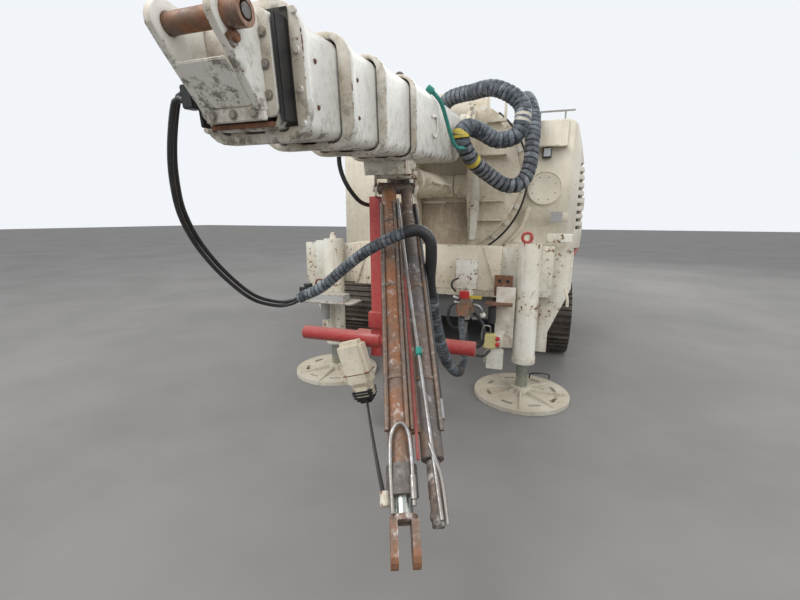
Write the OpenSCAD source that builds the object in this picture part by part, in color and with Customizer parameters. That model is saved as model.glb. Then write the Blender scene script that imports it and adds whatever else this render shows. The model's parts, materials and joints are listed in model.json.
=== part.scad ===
// Tracked rotary piling rig, front end with a telescopic boom on a slewing ring.
// -Y is the front, +X is right as seen from the front, Z is up.
// Every module works from the front datum: the ground point midway between the two jacks.

/* [Tracks] */
// Length of a track over its shoes
track_length = 3900; // [3400:50:4400]
// Height of a track over its shoes
track_height = 880; // [800:10:960]
// Distance between the track centre lines
track_spread = 2380; // [2300:10:2500]
// Width of the shoes
shoe_width = 480; // [400:10:520]
// Number of shoes on a track
shoe_count = 44; // [36:1:50]
// Height of a shoe's grouser rib
grouser_height = 28; // [15:1:40]
// Thickness of the chain and shoe plate together
track_thickness = 75; // [60:1:90]
// Distance from the front datum back to the tracks
track_front = 1050; // [1000:10:1150]

/* [House] */
// Distance from the front datum back to the house's front wall
house_front = 1070; // [1050:10:1120]
// Length of the house
house_length = 3650; // [3300:50:3900]
// Height of the deck under the house
deck_height = 985; // [960:5:1010]
// Height of the roof
roof_height = 2600; // [2550:10:2700]
// Thickness of the house's panels
panel = 40; // [30:1:50]
// Length of a side door
door_length = 1500; // [1200:50:1700]
// Gap round a door
door_gap = 8; // [6:1:12]

/* [Slewing ring] */
// Height of the slewing axis
ring_height = 2010; // [1980:10:2040]
// Outer radius of the fixed ring
ring_radius = 850; // [800:10:880]
// Thickness of the slewing disc
disc_thickness = 65; // [50:1:80]
// Distance between the inner faces of the boom cheeks
cheek_gap = 530; // [520:5:560]
// Thickness of a boom cheek
cheek_thickness = 42; // [30:1:50]

/* [Boom] */
// Distance from the front datum back to the boom pivot
pivot_back = 600; // [580:5:620]
// Height of the boom pivot
pivot_height = 2510; // [2490:5:2530]
// Downward slope of the boom in degrees
boom_slope = 6.2; // [4:0.1:8]
// Drop of the boom's centre line below its pivot
boom_drop = 133; // [120:1:140]
// Width of the base section
base_width = 410; // [400:1:420]
// Height of the base section
base_height = 452; // [440:1:460]
// Loss of width from one section to the next
width_step = 33; // [30:1:36]
// Loss of height from one section to the next
height_step = 30; // [28:1:34]
// Wall of the boom sections
boom_wall = 8; // [6:1:9]
// Rounding of the boom sections
boom_round = 62; // [50:1:70]
// Thickness of the collar plates
collar_thickness = 42; // [30:1:60]

/* [Jacks] */
// Distance between the jacks' centre lines
jack_spread = 1878; // [1860:2:1900]
// Outer diameter of a jack tube
jack_tube = 194; // [180:1:200]
// Diameter of a jack's rod
jack_rod = 106; // [90:1:110]
// Height of a jack tube's lower end
jack_tube_bottom = 320; // [300:5:340]
// Height of a jack tube's top
jack_tube_top = 1390; // [1350:5:1420]
// Radius of a jack pad
pad_radius = 420; // [380:5:440]
// Thickness of a jack pad
pad_thickness = 36; // [30:1:50]
// Height of a pad's underside over the ground
pad_clearance = 2; // [1:1:5]

/* [Luffing cylinder] */
// Drop of the barrel's pivot below the boom's pivot
luff_drop = 580; // [575:5:590]
// Distance from the front datum back to the barrel's pivot
luff_low_back = 780; // [775:1:785]
// Distance from the front datum forward to the rod's eye
luff_high_front = 750; // [740:1:760]
// Drop of the rod's eye below the boom's pivot
luff_eye_drop = 630; // [625:1:635]
// Outer diameter of the barrel
luff_tube = 196; // [180:1:200]
// Diameter of the rod
luff_rod_d = 96; // [80:1:98]

/* [Hanging arm] */
// Distance from the front datum forward to the arm's pivot
arm_pivot_front = 860; // [850:5:870]
// Height of the arm's pivot
arm_pivot_height = 1800; // [1790:5:1820]
// Length of the thick tube
arm_tube_length = 1950; // [1900:10:2000]
// Diameter of the thick tube
arm_tube = 100; // [90:1:110]
// Diameter of the slim tube
arm_slim = 80; // [70:1:90]
// Angle of the arm below the horizontal in degrees
arm_dip = 36.3; // [34:0.1:38]
// Angle of the arm out to the side in degrees
arm_swing = 21.2; // [19:0.1:23]

/* [Hidden] */
$fn = 48;

fit_gap = 0.05;        // radial gap of a running fit
luff_low_height = pivot_height - luff_drop;
luff_high_height = pivot_height - luff_eye_drop;
seat_gap = 5;          // gap between pieces that pass each other
head_pin_y = -3232;    // boom frame: place of the head's pin
head_pin_z = -31;
head_nose = 62;        // radius of the cheeks round the pin
head_reach = -(pivot_back + (head_pin_y - head_nose) * cos(boom_slope) - head_pin_z * sin(boom_slope));
y_middle = (track_front + track_length - head_reach) / 2;   // the origin lies under the middle of the rig

// Plan and section helpers
function arc(cx, cy, r, a0, a1, n) = [for (i = [0:n]) let (a = a0 + (a1 - a0) * i / n)
    [cx + r * cos(a), cy + r * sin(a)]];
function round_box(w, h, r) = concat(
    arc(w / 2 - r, h / 2 - r, r, 0, 90, 6), arc(-w / 2 + r, h / 2 - r, r, 90, 180, 6),
    arc(-w / 2 + r, -h / 2 + r, r, 180, 270, 6), arc(w / 2 - r, -h / 2 + r, r, 270, 360, 6));
function mirrored(half) = concat(half, [for (i = [len(half) - 1:-1:0]) [-half[i][0], half[i][1]]]);

// A solid with an outline in X and Z, from y0 back to y1
module along_y(y0, y1) translate([0, y1, 0]) rotate([90, 0, 0]) linear_extrude(y1 - y0) children();
// A solid with an outline in Y and Z, from x0 to x1
module along_x(x0, x1) translate([x0, 0, 0]) rotate([90, 0, 90]) linear_extrude(x1 - x0) children();
// Round bars along X and along Y
module bar_x(x0, x1, r) translate([x0, 0, 0]) rotate([0, 90, 0]) cylinder(h = x1 - x0, r = r);
module bar_y(y0, y1, r) translate([0, y0, 0]) rotate([-90, 0, 0]) cylinder(h = y1 - y0, r = r);
module block(low, high) translate(low) cube(high - low);
module both_sides() { children(); mirror([1, 0, 0]) children(); }
module on_side(s) { if (s > 0) children(); else mirror([1, 0, 0]) children(); }
module at_datum() translate([0, -y_middle, 0]) children();

// Tracks
track_r = track_height / 2;
loop_r = track_r - grouser_height;
run = track_length - 2 * track_r;
wheel_r = loop_r - track_thickness;
loop_length = 2 * run + 2 * PI * loop_r;
front_axle = track_front + track_r;
rear_axle = front_axle + run;

// Point of the track loop at distance s, pushed out by d
function on_loop(s, d) = let (q = s % loop_length, bend = PI * loop_r)
    q < run ? [front_axle + q, track_r + loop_r + d] :
    q < run + bend ? let (a = 90 - 180 * (q - run) / bend)
        [rear_axle + (loop_r + d) * cos(a), track_r + (loop_r + d) * sin(a)] :
    q < 2 * run + bend ? [rear_axle - (q - run - bend), track_r - loop_r - d] :
    let (a = 270 - 180 * (q - 2 * run - bend) / bend)
        [front_axle + (loop_r + d) * cos(a), track_r + (loop_r + d) * sin(a)];

module track(s) on_side(s) color("dimgray") {
    pitch = loop_length / shoe_count;
    outline = [for (i = [0:shoe_count - 1], p = [[0, 0], [0.36, 0], [0.44, 1], [0.56, 1], [0.64, 0], [0.97, 0],
        [0.985, -0.35]]) on_loop((i + p[0]) * pitch, p[1] * grouser_height)];
    along_x(track_spread / 2 - shoe_width / 2, track_spread / 2 + shoe_width / 2) difference() {
        polygon(outline);
        for (y = [front_axle, rear_axle]) translate([y, track_r]) circle(r = wheel_r);
        translate([front_axle, track_r - wheel_r]) square([run, 2 * wheel_r]);
    }
}

rail_half = 95;        // half-width of a track frame
roller_r = 90;
roller_count = 7;
roller_margin = 400;   // from the idler's axle to the first roller
roller_half = 150;
wheel_half = 60;       // half-width of the idler and sprocket
loose = 0.4;           // gap between the loop and what it runs on
axle_r = 90;           // hub of the idler and sprocket
pin_r = 30;            // pins of the rollers
fork = 30;             // thickness of the fork plates that hold the axles
carrier_r = 65;        // rollers under the upper run
roller_z = track_r - wheel_r + roller_r + loose;
carrier_z = track_r + wheel_r - carrier_r - loose;
frame_low = roller_z + roller_r + 15;
frame_high = frame_low + 290;
function roller_y(i) = front_axle + roller_margin + i * (run - 2 * roller_margin) / (roller_count - 1);
CARRIERS = [front_axle + run * 0.32, front_axle + run * 0.68];

module track_wheels(s) on_side(s) color("gray") translate([track_spread / 2, 0, 0]) {
    r = wheel_r - loose;
    for (y = [front_axle, rear_axle]) translate([0, y, track_r]) difference() {
        union() {
            bar_x(-wheel_half, wheel_half, r);
            bar_x(-rail_half - fork / 2, rail_half + fork / 2, axle_r);
        }
        for (side = [-1, 1]) translate([side * wheel_half, 0, 0]) difference() {
            bar_x(-25, 25, r - 55);
            bar_x(-26, 26, axle_r + 40);
        }
    }
    for (i = [0:roller_count - 1]) translate([0, roller_y(i), roller_z]) {
        bar_x(-roller_half, roller_half, roller_r);
        bar_x(-roller_half - fork, roller_half + fork, pin_r);
    }
    for (y = CARRIERS) translate([0, y, carrier_z]) {
        bar_x(-50, 50, carrier_r);
        bar_x(-rail_half, rail_half, pin_r);
    }
}

// One side's frame: a beam with forks for the axles and brackets for the rollers' pins
module track_frame(s) on_side(s) color("dimgray") translate([track_spread / 2, 0, 0]) difference() {
    union() {
        along_x(-rail_half, rail_half) polygon([
            [front_axle + wheel_r + 25, frame_low + 60], [front_axle + wheel_r + 70, frame_low],
            [rear_axle - wheel_r - 70, frame_low], [rear_axle - wheel_r - 25, frame_low + 60],
            [rear_axle - wheel_r - 25, frame_high - 60], [rear_axle - wheel_r - 120, frame_high],
            [front_axle + wheel_r + 120, frame_high], [front_axle + wheel_r + 25, frame_high - 60]]);
        for (side = [-1, 1]) translate([side * rail_half, 0, 0]) {
            block([-fork / 2, front_axle - 110, track_r - 110], [fork / 2, front_axle + wheel_r + 60, track_r + 110]);
            block([-fork / 2, rear_axle - wheel_r - 60, track_r - 110], [fork / 2, rear_axle + 110, track_r + 110]);
            for (y = CARRIERS) block([-fork / 2, y - 45, frame_high - 60], [fork / 2, y + 45, carrier_z + pin_r + 12]);
        }
        for (i = [0:roller_count - 1], side = [-1, 1]) translate([side * (roller_half + fork), roller_y(i), 0]) {
            block([-fork / 2, -48, roller_z - pin_r - 12], [fork / 2, 48, frame_low + 40]);
            block([side > 0 ? -roller_half : 0, -48, frame_low], [side > 0 ? 0 : roller_half, 48, frame_low + 40]);
        }
    }
    for (y = [front_axle, rear_axle]) translate([0, y, track_r])
        bar_x(-rail_half - fork, rail_half + fork, axle_r + slide_gap);
    for (i = [0:roller_count - 1]) translate([0, roller_y(i), roller_z])
        bar_x(-roller_half - 2 * fork, roller_half + 2 * fork, pin_r + slide_gap);
    for (y = CARRIERS) translate([0, y, carrier_z]) bar_x(-rail_half - fork, rail_half + fork, pin_r + slide_gap);
}

// Chassis: a channel that is open below, with its cross members, end walls and the feet of the front plate
chassis_half = 560;
chassis_wall = 60;
belly_height = 420;    // height of the chassis's underside, which is open
arm_in = 700;
arm_out = 870;
plate_back = house_front;
chassis_in = chassis_half - chassis_wall;
chassis_back = rear_axle - 200;
chassis_roof = deck_height - chassis_wall;
module cross_bars() for (y = [front_axle + 560, rear_axle - 760])
    block([-track_spread / 2 + rail_half, y, 500], [track_spread / 2 - rail_half, y + 300, 760]);
module chassis() color("dimgray") difference() {
    along_y(house_front, chassis_back) polygon(mirrored([[chassis_half, deck_height], [chassis_half, belly_height],
        [chassis_in, belly_height], [chassis_in, chassis_roof]]));
    cross_bars();
}
module cross_members() color("dimgray") {
    cross_bars();
    for (y = [house_front, chassis_back - chassis_wall])
        block([-chassis_in, y, belly_height], [chassis_in, y + chassis_wall, chassis_roof]);
    both_sides() block([chassis_half, house_front, 700], [arm_out, front_axle + 60, deck_height]);
}
// Arms that reach forward from the front plate to the jacks
module front_arms() color("antiquewhite") both_sides() along_x(arm_in, arm_out) polygon([[jack_back, 960],
    [jack_back, beam_top - 15], [plate_front, beam_top - 15], [plate_front, 880], [jack_back + 300, 900]]);

// Front plate that carries the slewing ring, with an arched top
plate_front = house_front - 65;
plate_half = 930;
hub_radius = 300;
cowl = 70;             // height of the cowl over the ring
cowl_angle = 62;       // where the cowl starts and ends
module front_plate() color("antiquewhite") difference() {
    along_y(plate_front, plate_back) polygon(mirrored(concat([[plate_half, 700], [plate_half, 1380]],
        arc(0, ring_height, ring_radius + 4, -30, cowl_angle, 14),
        arc(0, ring_height, ring_radius + cowl, cowl_angle, 88, 8))));
    translate([0, 0, ring_height]) bar_y(plate_front - 1, plate_back + 1, hub_radius + fit_gap);
}

disc_front = plate_front - 40 - disc_thickness;
module slew_ring() color("wheat") translate([0, 0, ring_height]) difference() {
    bar_y(plate_front - 34, plate_front, ring_radius);
    bar_y(plate_front - 35, plate_front + 1, hub_radius + fit_gap);
    for (i = [0:35]) rotate([0, i * 10, 0]) translate([ring_radius - 35, plate_front - 35, 0]) bar_y(0, 12, 13);
}

module slew_disc() color("antiquewhite") translate([0, 0, ring_height]) {
    bar_y(disc_front, disc_front + disc_thickness, ring_radius - 60);
    bar_y(disc_front + disc_thickness, plate_back - 6, hub_radius);
}

// Cradle on the disc: cheeks for the boom pivot, tapered gussets, shelves and the luff cylinder's cross tube
cheek_in = cheek_gap / 2;
cheek_out = cheek_in + cheek_thickness;
module cradle() color("antiquewhite") {
    both_sides() {
        along_x(cheek_in, cheek_out) polygon(concat(
            [[disc_front, ring_height - 660], [disc_front, pivot_height + 200], [pivot_back + 120, pivot_height + 190]],
            arc(pivot_back, pivot_height, 120, 60, 215, 8),
            [[pivot_back + 10, pivot_height - 330], [pivot_back + 40, luff_low_height + 40],
            [luff_low_back - 100, luff_low_height - 130], [disc_front - 60, luff_low_height - 420]]));
        for (z = [luff_low_height + 310, luff_low_height - 160, luff_low_height - 360])
            block([cheek_out, disc_front - 90, z], [cheek_out + 330, disc_front, z + 16]);
        translate([0, luff_low_back, luff_low_height]) bar_x(luff_eye_half + 10, cheek_in, 118);
        translate([0, pivot_back, pivot_height]) bar_x(cheek_out, cheek_out + 34, 88);
    }
    translate([0, luff_low_back, luff_low_height]) bar_x(-cheek_in, cheek_in, luff_pin_r);
    translate([0, pivot_back, pivot_height]) bar_x(-cheek_in, cheek_in, boom_pin_r);
}
boom_pin_r = 55;
luff_pin_r = 45;
luff_eye_half = 120;

module hose_bracket() color("dimgray") translate([420, disc_front - 60, ring_height + 560])
    difference() {
        block([0, 0, 0], [200, 60, 330]);
        block([25, -1, 25], [175, 61, 305]);
    }

// Boom frame: the pivot is the origin, -Y runs out along the boom
module in_boom() translate([0, pivot_back, pivot_height]) rotate([boom_slope, 0, 0]) children();

// One boom section each: name, place of its collar, place of its rear end, collar width and collar height
STAGES = [
    ["base", -1794, 110, 470, 474],
    ["stage_1", -2305, -150, 456, 445],
    ["stage_2", -2683, -350, 442, 424],
    ["stage_3", -3030, -550, 430, 411],
    ["stage_4", -3080, -750, 0, 0]];
function stage_w(i) = base_width - width_step * i;
function stage_h(i) = base_height - height_step * i;

step_gap = (height_step - 2 * boom_wall) / 2;   // gap between a section and the one inside it
slide_gap = 0.3;       // gap over the wear pads
// Wear pads inside a collar, that the next section slides on
module wear_pads(i) for (x = [-100, 40])
    block([x, STAGES[i][1], -boom_drop - stage_h(i) / 2 + boom_wall],
        [x + 60, STAGES[i][1] + 60, -boom_drop - stage_h(i) / 2 + boom_wall + step_gap - slide_gap]);
module section_tube(i, y0, y1) translate([0, 0, -boom_drop]) difference() {
    along_y(y0, y1) polygon(round_box(stage_w(i), stage_h(i), boom_round - 6 * i));
    along_y(y0 - 1, y1 + 1) polygon(round_box(stage_w(i) - 2 * boom_wall, stage_h(i) - 2 * boom_wall,
        boom_round - 6 * i - boom_wall + 2));
}
// A collar plate with the opening that the next section slides through
module collar(i) translate([0, 0, -boom_drop]) difference() {
    along_y(STAGES[i][1], STAGES[i][1] + collar_thickness)
        polygon(round_box(STAGES[i][3], STAGES[i][4], 105));
    along_y(STAGES[i][1] - 1, STAGES[i][1] + collar_thickness + 1)
        polygon(round_box(stage_w(i) - 2 * boom_wall, stage_h(i) - 2 * boom_wall, boom_round - 6 * i - boom_wall + 2));
}

lug_in = 56;           // half the distance between the luff eye's two lugs
lug_out = 84;
luff_eye_r = 62;
// Place of the luff eye in the boom frame
eye_y = (-luff_high_front - pivot_back) * cos(boom_slope) + (luff_high_height - pivot_height) * sin(boom_slope);
eye_z = (luff_high_front + pivot_back) * sin(boom_slope) + (luff_high_height - pivot_height) * cos(boom_slope);
boom_bottom = -boom_drop - base_height / 2;
module boom_base() color("ivory") difference() {
    in_boom() union() {
        difference() {
            section_tube(0, STAGES[0][1] + collar_thickness, STAGES[0][2]);
            along_x(-400, 400) polygon([[-210, -boom_drop - base_height], [-210, boom_bottom],
                [STAGES[0][2] + 1, -boom_drop + 30], [STAGES[0][2] + 1, -boom_drop - base_height]]);
        }
        collar(0);
        wear_pads(0);
        both_sides() bar_x(base_width / 2 - boom_wall, cheek_in - seat_gap, 95);
        both_sides() along_x(lug_in, lug_out) polygon(concat([[eye_y - 75, boom_bottom], [eye_y + 120, boom_bottom]],
            arc(eye_y, eye_z, luff_eye_r, 20, -160, 10)));
    }
    in_boom() bar_x(-cheek_in, cheek_in, boom_pin_r + fit_gap);
}

module boom_stage(i) color("ivory") in_boom() {
    section_tube(i, STAGES[i][1] + collar_thickness, STAGES[i][2]);
    collar(i);
    wear_pads(i);
}

// Innermost section with its end plate, the two cheeks of the boom head and their pin
head_plate_w = 292;
head_plate_h = 290;
head_front = STAGES[4][1] - 20;
cheek_half = 86;       // half the distance between the head's cheeks
module boom_stage_4() color("ivory") in_boom() {
    section_tube(4, STAGES[4][1], STAGES[4][2]);
    translate([0, 0, -boom_drop]) along_y(head_front, STAGES[4][1])
        translate([0, 10]) polygon(round_box(head_plate_w, head_plate_h, 30));
}
module head_cheeks() color("ivory") in_boom() difference() {
    both_sides() along_x(cheek_half, cheek_half + 28) polygon(concat(
        [[head_front, 10], [head_front, -boom_drop - 118], [head_front - 30, -boom_drop - 118],
        [head_front - 170, -75]], [for (a = [190:-20:70])
        [head_pin_y + head_nose * cos(a), head_pin_z + head_nose * sin(a)]]));
    translate([0, head_pin_y, head_pin_z]) bar_x(-200, 200, 29 + fit_gap);
}
module head_pin() color("saddlebrown") in_boom() translate([0, head_pin_y, head_pin_z]) difference() {
    union() {
        bar_x(-cheek_half - 50, cheek_half + 80, 29);
        bar_x(cheek_half + 28.5, cheek_half + 85, 38);
    }
    bar_x(cheek_half + 30, cheek_half + 90, 25);
}

// Under the base collar: box bracket with two ears and the pin that the arm hangs on
module at_arm_pivot() translate([0, -arm_pivot_front, arm_pivot_height]) rotate([0, 0, arm_swing]) children();
module in_arm() at_arm_pivot() rotate([arm_dip, 0, 0]) children();
ear_in = 128;
ear_thickness = 20;
ear_drop = 55;
arm_pin_r = 25;
module arm_bracket() color("tan") {
    in_boom() translate([0, 0, boom_bottom]) along_x(-140, 140)
        polygon([[STAGES[0][1] + collar_thickness, 0], [-1505, 0], [-1510, -60], [-1560, -95], [-1740, -95]]);
    at_arm_pivot() {
        block([-ear_in - ear_thickness, -100, 62], [ear_in + ear_thickness, -20, 110]);
        for (x = [-ear_in - ear_thickness, ear_in]) along_x(x, x + ear_thickness)
            polygon([[-100, 110], [-20, 110], [42, 40], [42, -ear_drop], [-42, -ear_drop], [-42, 20]]);
        bar_x(-ear_in - ear_thickness - 12, ear_in + ear_thickness + 12, arm_pin_r);
    }
}
module boom_shackle() color("silver") in_boom() translate([60, -1560, -boom_drop + base_height / 2]) {
    cylinder(h = 26, r = 17);
    translate([0, 0, 46]) rotate([90, 0, 0]) rotate_extrude() translate([24, 0]) circle(r = 8);
}

// Red frame that hangs behind the arm: upright, clamp block and cross tube
tee_x = -138;
tee_height = 680;
tee_top = arm_pivot_height - ear_drop;
module tee_frame() color("firebrick") {
    translate([tee_x, -arm_pivot_front, 0]) {
        along_x(-38, 38) polygon([[-35, 905], [35, 905], [60, 1680], [60, tee_top], [-60, tee_top], [-60, 1680]]);
        block([-52, -70, 790], [52, 70, 905]);
        block([-40, -50, 560], [40, 50, 790]);
    }
    translate([0, -arm_pivot_front, tee_height]) {
        bar_x(-775, 605, 54);
        bar_x(tee_x - 160, tee_x + 30, 72);
    }
}

// Hanging arm: a thick tube and a slim one, joined by a web, on a pivot sleeve
thick_x = -48;
slim_x = 74;
arm_bore = 36;
module arm_barrel() color("rosybrown") in_arm() difference() {
    union() {
        translate([thick_x, 0, 0]) bar_y(-arm_tube_length, -20, arm_tube / 2);
        translate([slim_x, 0, 0]) bar_y(-arm_tube_length + 160, -50, arm_slim / 2);
        block([thick_x, -arm_tube_length + 170, -12], [slim_x, -200, 12]);
        translate([thick_x, 0, 0]) bar_y(-arm_tube_length - 70, -arm_tube_length + 40, arm_tube / 2 + 9);
        bar_x(-ear_in + 6, ear_in - 6, arm_pin_r + 15);
    }
    translate([thick_x, 0, 0]) bar_y(-arm_tube_length - 71, -90, arm_bore + fit_gap);
    bar_x(-ear_in, ear_in, arm_pin_r + fit_gap);
}
// Pipes on the arm: the tube that carries the pipe, its radius, place round the tube and pipe radius
PIPES = [[thick_x, arm_tube / 2, 150, 11], [thick_x, arm_tube / 2, 62, 9], [thick_x, arm_tube / 2, 38, 9],
    [slim_x, arm_slim / 2, 25, 10]];
module arm_pipes() color("silver") in_arm() for (p = PIPES) {
    d = p[1] + p[3] + slide_gap;
    translate([p[0] + d * cos(p[2]), 0, d * sin(p[2])]) bar_y(-arm_tube_length + 170, -230, p[3]);
}
module arm_rod() color("silver") in_arm() translate([thick_x, 0, 0]) difference() {
    union() {
        bar_y(-arm_tube_length - 130, -900, arm_bore);
        bar_y(-arm_tube_length - 150, -arm_tube_length - 130, 50);
        for (x = [-50, 24]) along_x(x, x + 26) polygon(concat([[-arm_tube_length - 150, -50],
            [-arm_tube_length - 150, 50]], arc(-arm_tube_length - 240, 0, 50, 90, 270, 8)));
    }
    translate([0, -arm_tube_length - 240, 0]) bar_x(-60, 60, 20);
}

// Luffing cylinder
luff_length = norm([luff_low_back + luff_high_front, luff_high_height - luff_low_height]);
luff_angle = atan2(luff_low_height - luff_high_height, luff_low_back + luff_high_front);
luff_head = 1260;      // distance of the gland from the barrel's pivot
module in_luff() translate([0, luff_low_back, luff_low_height]) rotate([luff_angle, 0, 0]) children();
module luff_barrel() color("antiquewhite") in_luff() difference() {
    union() {
        bar_y(-luff_head, -60, luff_tube / 2);
        bar_y(-luff_head - 30, -luff_head + 60, luff_tube / 2 + 6);
        bar_x(-luff_eye_half, luff_eye_half, 110);
        rotate([0, 90, 0]) {
            translate([0, 0, luff_tube / 2 + 26]) bar_y(-luff_head + 100, -250, 14);
            for (y = [-luff_head + 100, -700, -300])
                block([-24, y, luff_tube / 2 - 10], [24, y + 30, luff_tube / 2 + 40]);
        }
    }
    bar_y(-luff_head - 31, -200, luff_rod_d / 2 + fit_gap);
    bar_x(-luff_eye_half - 1, luff_eye_half + 1, luff_pin_r + fit_gap);
}
module luff_rod() color("silver") in_luff() {
    bar_y(-luff_length + 40, -500, luff_rod_d / 2);
    translate([0, -luff_length, 0]) bar_x(-lug_in + seat_gap, lug_in - seat_gap, luff_eye_r - 4);
}

// Beam between the jacks and the jack housings with their tapered brackets
jack_x = jack_spread / 2;
jack_back = 120;
bracket_in = 700;
beam_top = 1355;
module front_beam() color("antiquewhite") {
    block([-bracket_in, -40, 960], [bracket_in, jack_back, beam_top]);
    both_sides() along_y(-60, -40) polygon([[bracket_in - 160, beam_top], [bracket_in, beam_top], [bracket_in, 980],
        [bracket_in - 40, 980]]);
}
module jack_housing(s) on_side(s) color("antiquewhite") difference() {
    union() {
        translate([jack_x, 0, jack_tube_bottom]) cylinder(h = jack_tube_top - jack_tube_bottom, r = jack_tube / 2);
        translate([jack_x, 0, jack_tube_bottom]) cylinder(h = 60, r = jack_tube / 2 + 7);
        along_y(60, jack_back) polygon([[bracket_in, beam_top - 10], [1290, beam_top - 10], [1290, 1000],
            [1130, 600], [1130, 410], [1040, 410], [1010, 500], [1010, 960], [bracket_in, 960]]);
        block([jack_x + 90, -20, 930], [1130, 70, beam_top + 15]);
        if (s < 0) block([jack_x - 40, -112, 740], [jack_x + 40, -70, tray_height]);
        translate([jack_x, -12, jack_tube_top]) along_y(-10, 10) polygon(concat([[-34, 0], [34, 0]],
            arc(0, 40, 26, 0, 180, 8)));
    }
    translate([jack_x, 0, jack_tube_bottom - 1]) cylinder(h = 121, r = jack_rod / 2 + fit_gap);
    translate([jack_x, 0, jack_tube_bottom + 100]) cylinder(h = jack_tube_top - jack_tube_bottom - 130,
        r = jack_tube / 2 - 14);
}
pad_top = pad_clearance + pad_thickness;
hub_top = pad_top + 54;
module jack_rod(s) on_side(s) color("silver") translate([jack_x, 0, hub_top])
    cylinder(h = 1150 - hub_top, r = jack_rod / 2);
module jack_pad(s) on_side(s) color("wheat") translate([jack_x, 0, pad_clearance]) {
    difference() {
        cylinder(h = pad_thickness, r = pad_radius);
        for (i = [0:7]) rotate(i * 45 + 22.5) translate([pad_radius * 0.72, 0, -1])
            linear_extrude(pad_thickness + 2) {
                translate([0, 40]) circle(r = 18);
                translate([0, -40]) circle(r = 18);
                translate([-18, -40]) square([36, 80]);
            }
    }
    translate([0, 0, pad_thickness]) {
        cylinder(h = hub_top - pad_top, r = 90);
        for (i = [0:7]) rotate(i * 45) translate([0, 0, -0.5]) rotate([90, 0, 0]) translate([0, 0, -6])
            linear_extrude(12) polygon([[80, 0], [pad_radius - 30, 0], [pad_radius - 30, 10], [80, 40]]);
    }
}

// House: a bulged skin, split where its doors are
SIDE = [[1480, 1270], [1492, 1450], [1482, 1790], [1460, 2120], [1400, 2360], [1335, 2552], [1237, roof_height]];
SKIRT = [[1310, deck_height], [1480, 1270]];
house_back = house_front + house_length;
nose_half = 1300;
nose_depth = 430;
door_front = house_front + 640;
door_low = 1300;
door_high = 2330;
function inset(points, d) = [for (p = points) [p[0] - d, min(p[1], roof_height - d)]];
module plan(d) translate([0, 0, deck_height - 50]) linear_extrude(roof_height) polygon(mirrored([
    [nose_half - d, house_front + d], [1510 - d, house_front + nose_depth + d * 0.3],
    [1510 - d, house_back - 200], [1400 - d, house_back - d]]));
module house_inside() intersection() {
    along_y(house_front - 1, house_back + 1) polygon(mirrored(concat([[SIDE[0][0] - panel, SIDE[0][1] - 1]],
        inset(SIDE, panel))));
    plan(panel);
}
module house_skin() difference() {
    intersection() {
        along_y(house_front, house_back) polygon(mirrored(SIDE));
        plan(0);
    }
    house_inside();
}
module door_zone(g) block([1200, door_front + g, door_low + g], [1600, door_front + door_length - g, door_high - g]);
// Louvre slots: a stack of level slits from y0 back to y1
module louvres(y0, y1, z0, z1, n) for (i = [0:n - 1])
    block([1340, y0, z0 + i * (z1 - z0) / n], [1600, y1, z0 + (i + 0.42) * (z1 - z0) / n]);
module house_shell() color("antiquewhite") {
    house_walls();
    difference() {
        door_hinges();
        house_inside();
    }
}
module house_walls() difference() {
    house_skin();
    both_sides() door_zone(0);
    both_sides() louvres(house_front + 210, house_front + 500, 1480, 2240, 9);
    both_sides() louvres(door_front + door_length + 250, house_back - 350, 1480, 2240, 9);
    block([-900, house_back - panel - 2, 1300], [900, house_back + 2, 2300]);
    translate([0, 0, ring_height]) bar_y(house_front - 2, house_front + panel + 2, 330);
}
knuckle_x = 1508;
knuckle_r = 12;
hinge_pin_r = 6;
HINGES = [1420, 1750];     // heights of a door's two hinges
// The shell's half of the hinges: a leaf, a knuckle and the pin that the door turns on
module door_hinges() both_sides() for (z = HINGES) {
    block([1470, door_front - 60, z - 45], [knuckle_x - 4, door_front, z - 5]);
    translate([knuckle_x, door_front, z - 45]) cylinder(h = 45 - slide_gap, r = knuckle_r);
    translate([knuckle_x, door_front, z - 45]) cylinder(h = 130, r = hinge_pin_r);
}
module side_door(s) on_side(s) color("antiquewhite") {
    difference() {
        intersection() {
            house_skin();
            door_zone(door_gap);
        }
        louvres(door_front + 180, door_front + door_length / 2 - 60, 1480, 2240, 9);
        louvres(door_front + door_length / 2 + 60, door_front + door_length - 180, 1480, 2240, 9);
    }
    for (z = HINGES) difference() {
        union() {
            translate([knuckle_x, door_front, z]) cylinder(h = 90, r = knuckle_r);
            difference() {
                block([1470, door_front + door_gap, z + 5], [knuckle_x - 4, door_front + 60, z + 85]);
                house_inside();
            }
        }
        translate([knuckle_x, door_front, z - 1]) cylinder(h = 92, r = hinge_pin_r + fit_gap);
    }
}
module side_skirts() color("firebrick") both_sides() intersection() {
    plan(0);
    along_y(house_front, house_back - 150) polygon([SKIRT[0], SKIRT[1], [SKIRT[1][0] - panel, SKIRT[1][1]], [SKIRT[0][0] - panel, SKIRT[0][1]]]);
}
deck_thickness = 30;
skirt_lean = (SKIRT[1][0] - SKIRT[0][0]) / (SKIRT[1][1] - SKIRT[0][1]);
module deck_plate() color("dimgray") intersection() {
    plan(0);
    along_y(house_front, house_back - 150) polygon(mirrored([[SKIRT[0][0] - panel, deck_height],
        [SKIRT[0][0] - panel + deck_thickness * skirt_lean, deck_height + deck_thickness]]));
}
module engine_block() color("gray") block([-350, 2350, deck_height + deck_thickness], [350, 3500, 1800]);
module rear_grille() color("dimgray") difference() {
    block([-900, house_back - panel, 1300], [900, house_back - 5, 2300]);
    for (i = [0:15]) block([-850, house_back - panel - 1, 1340 + i * 58], [850, house_back, 1372 + i * 58]);
}
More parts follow.
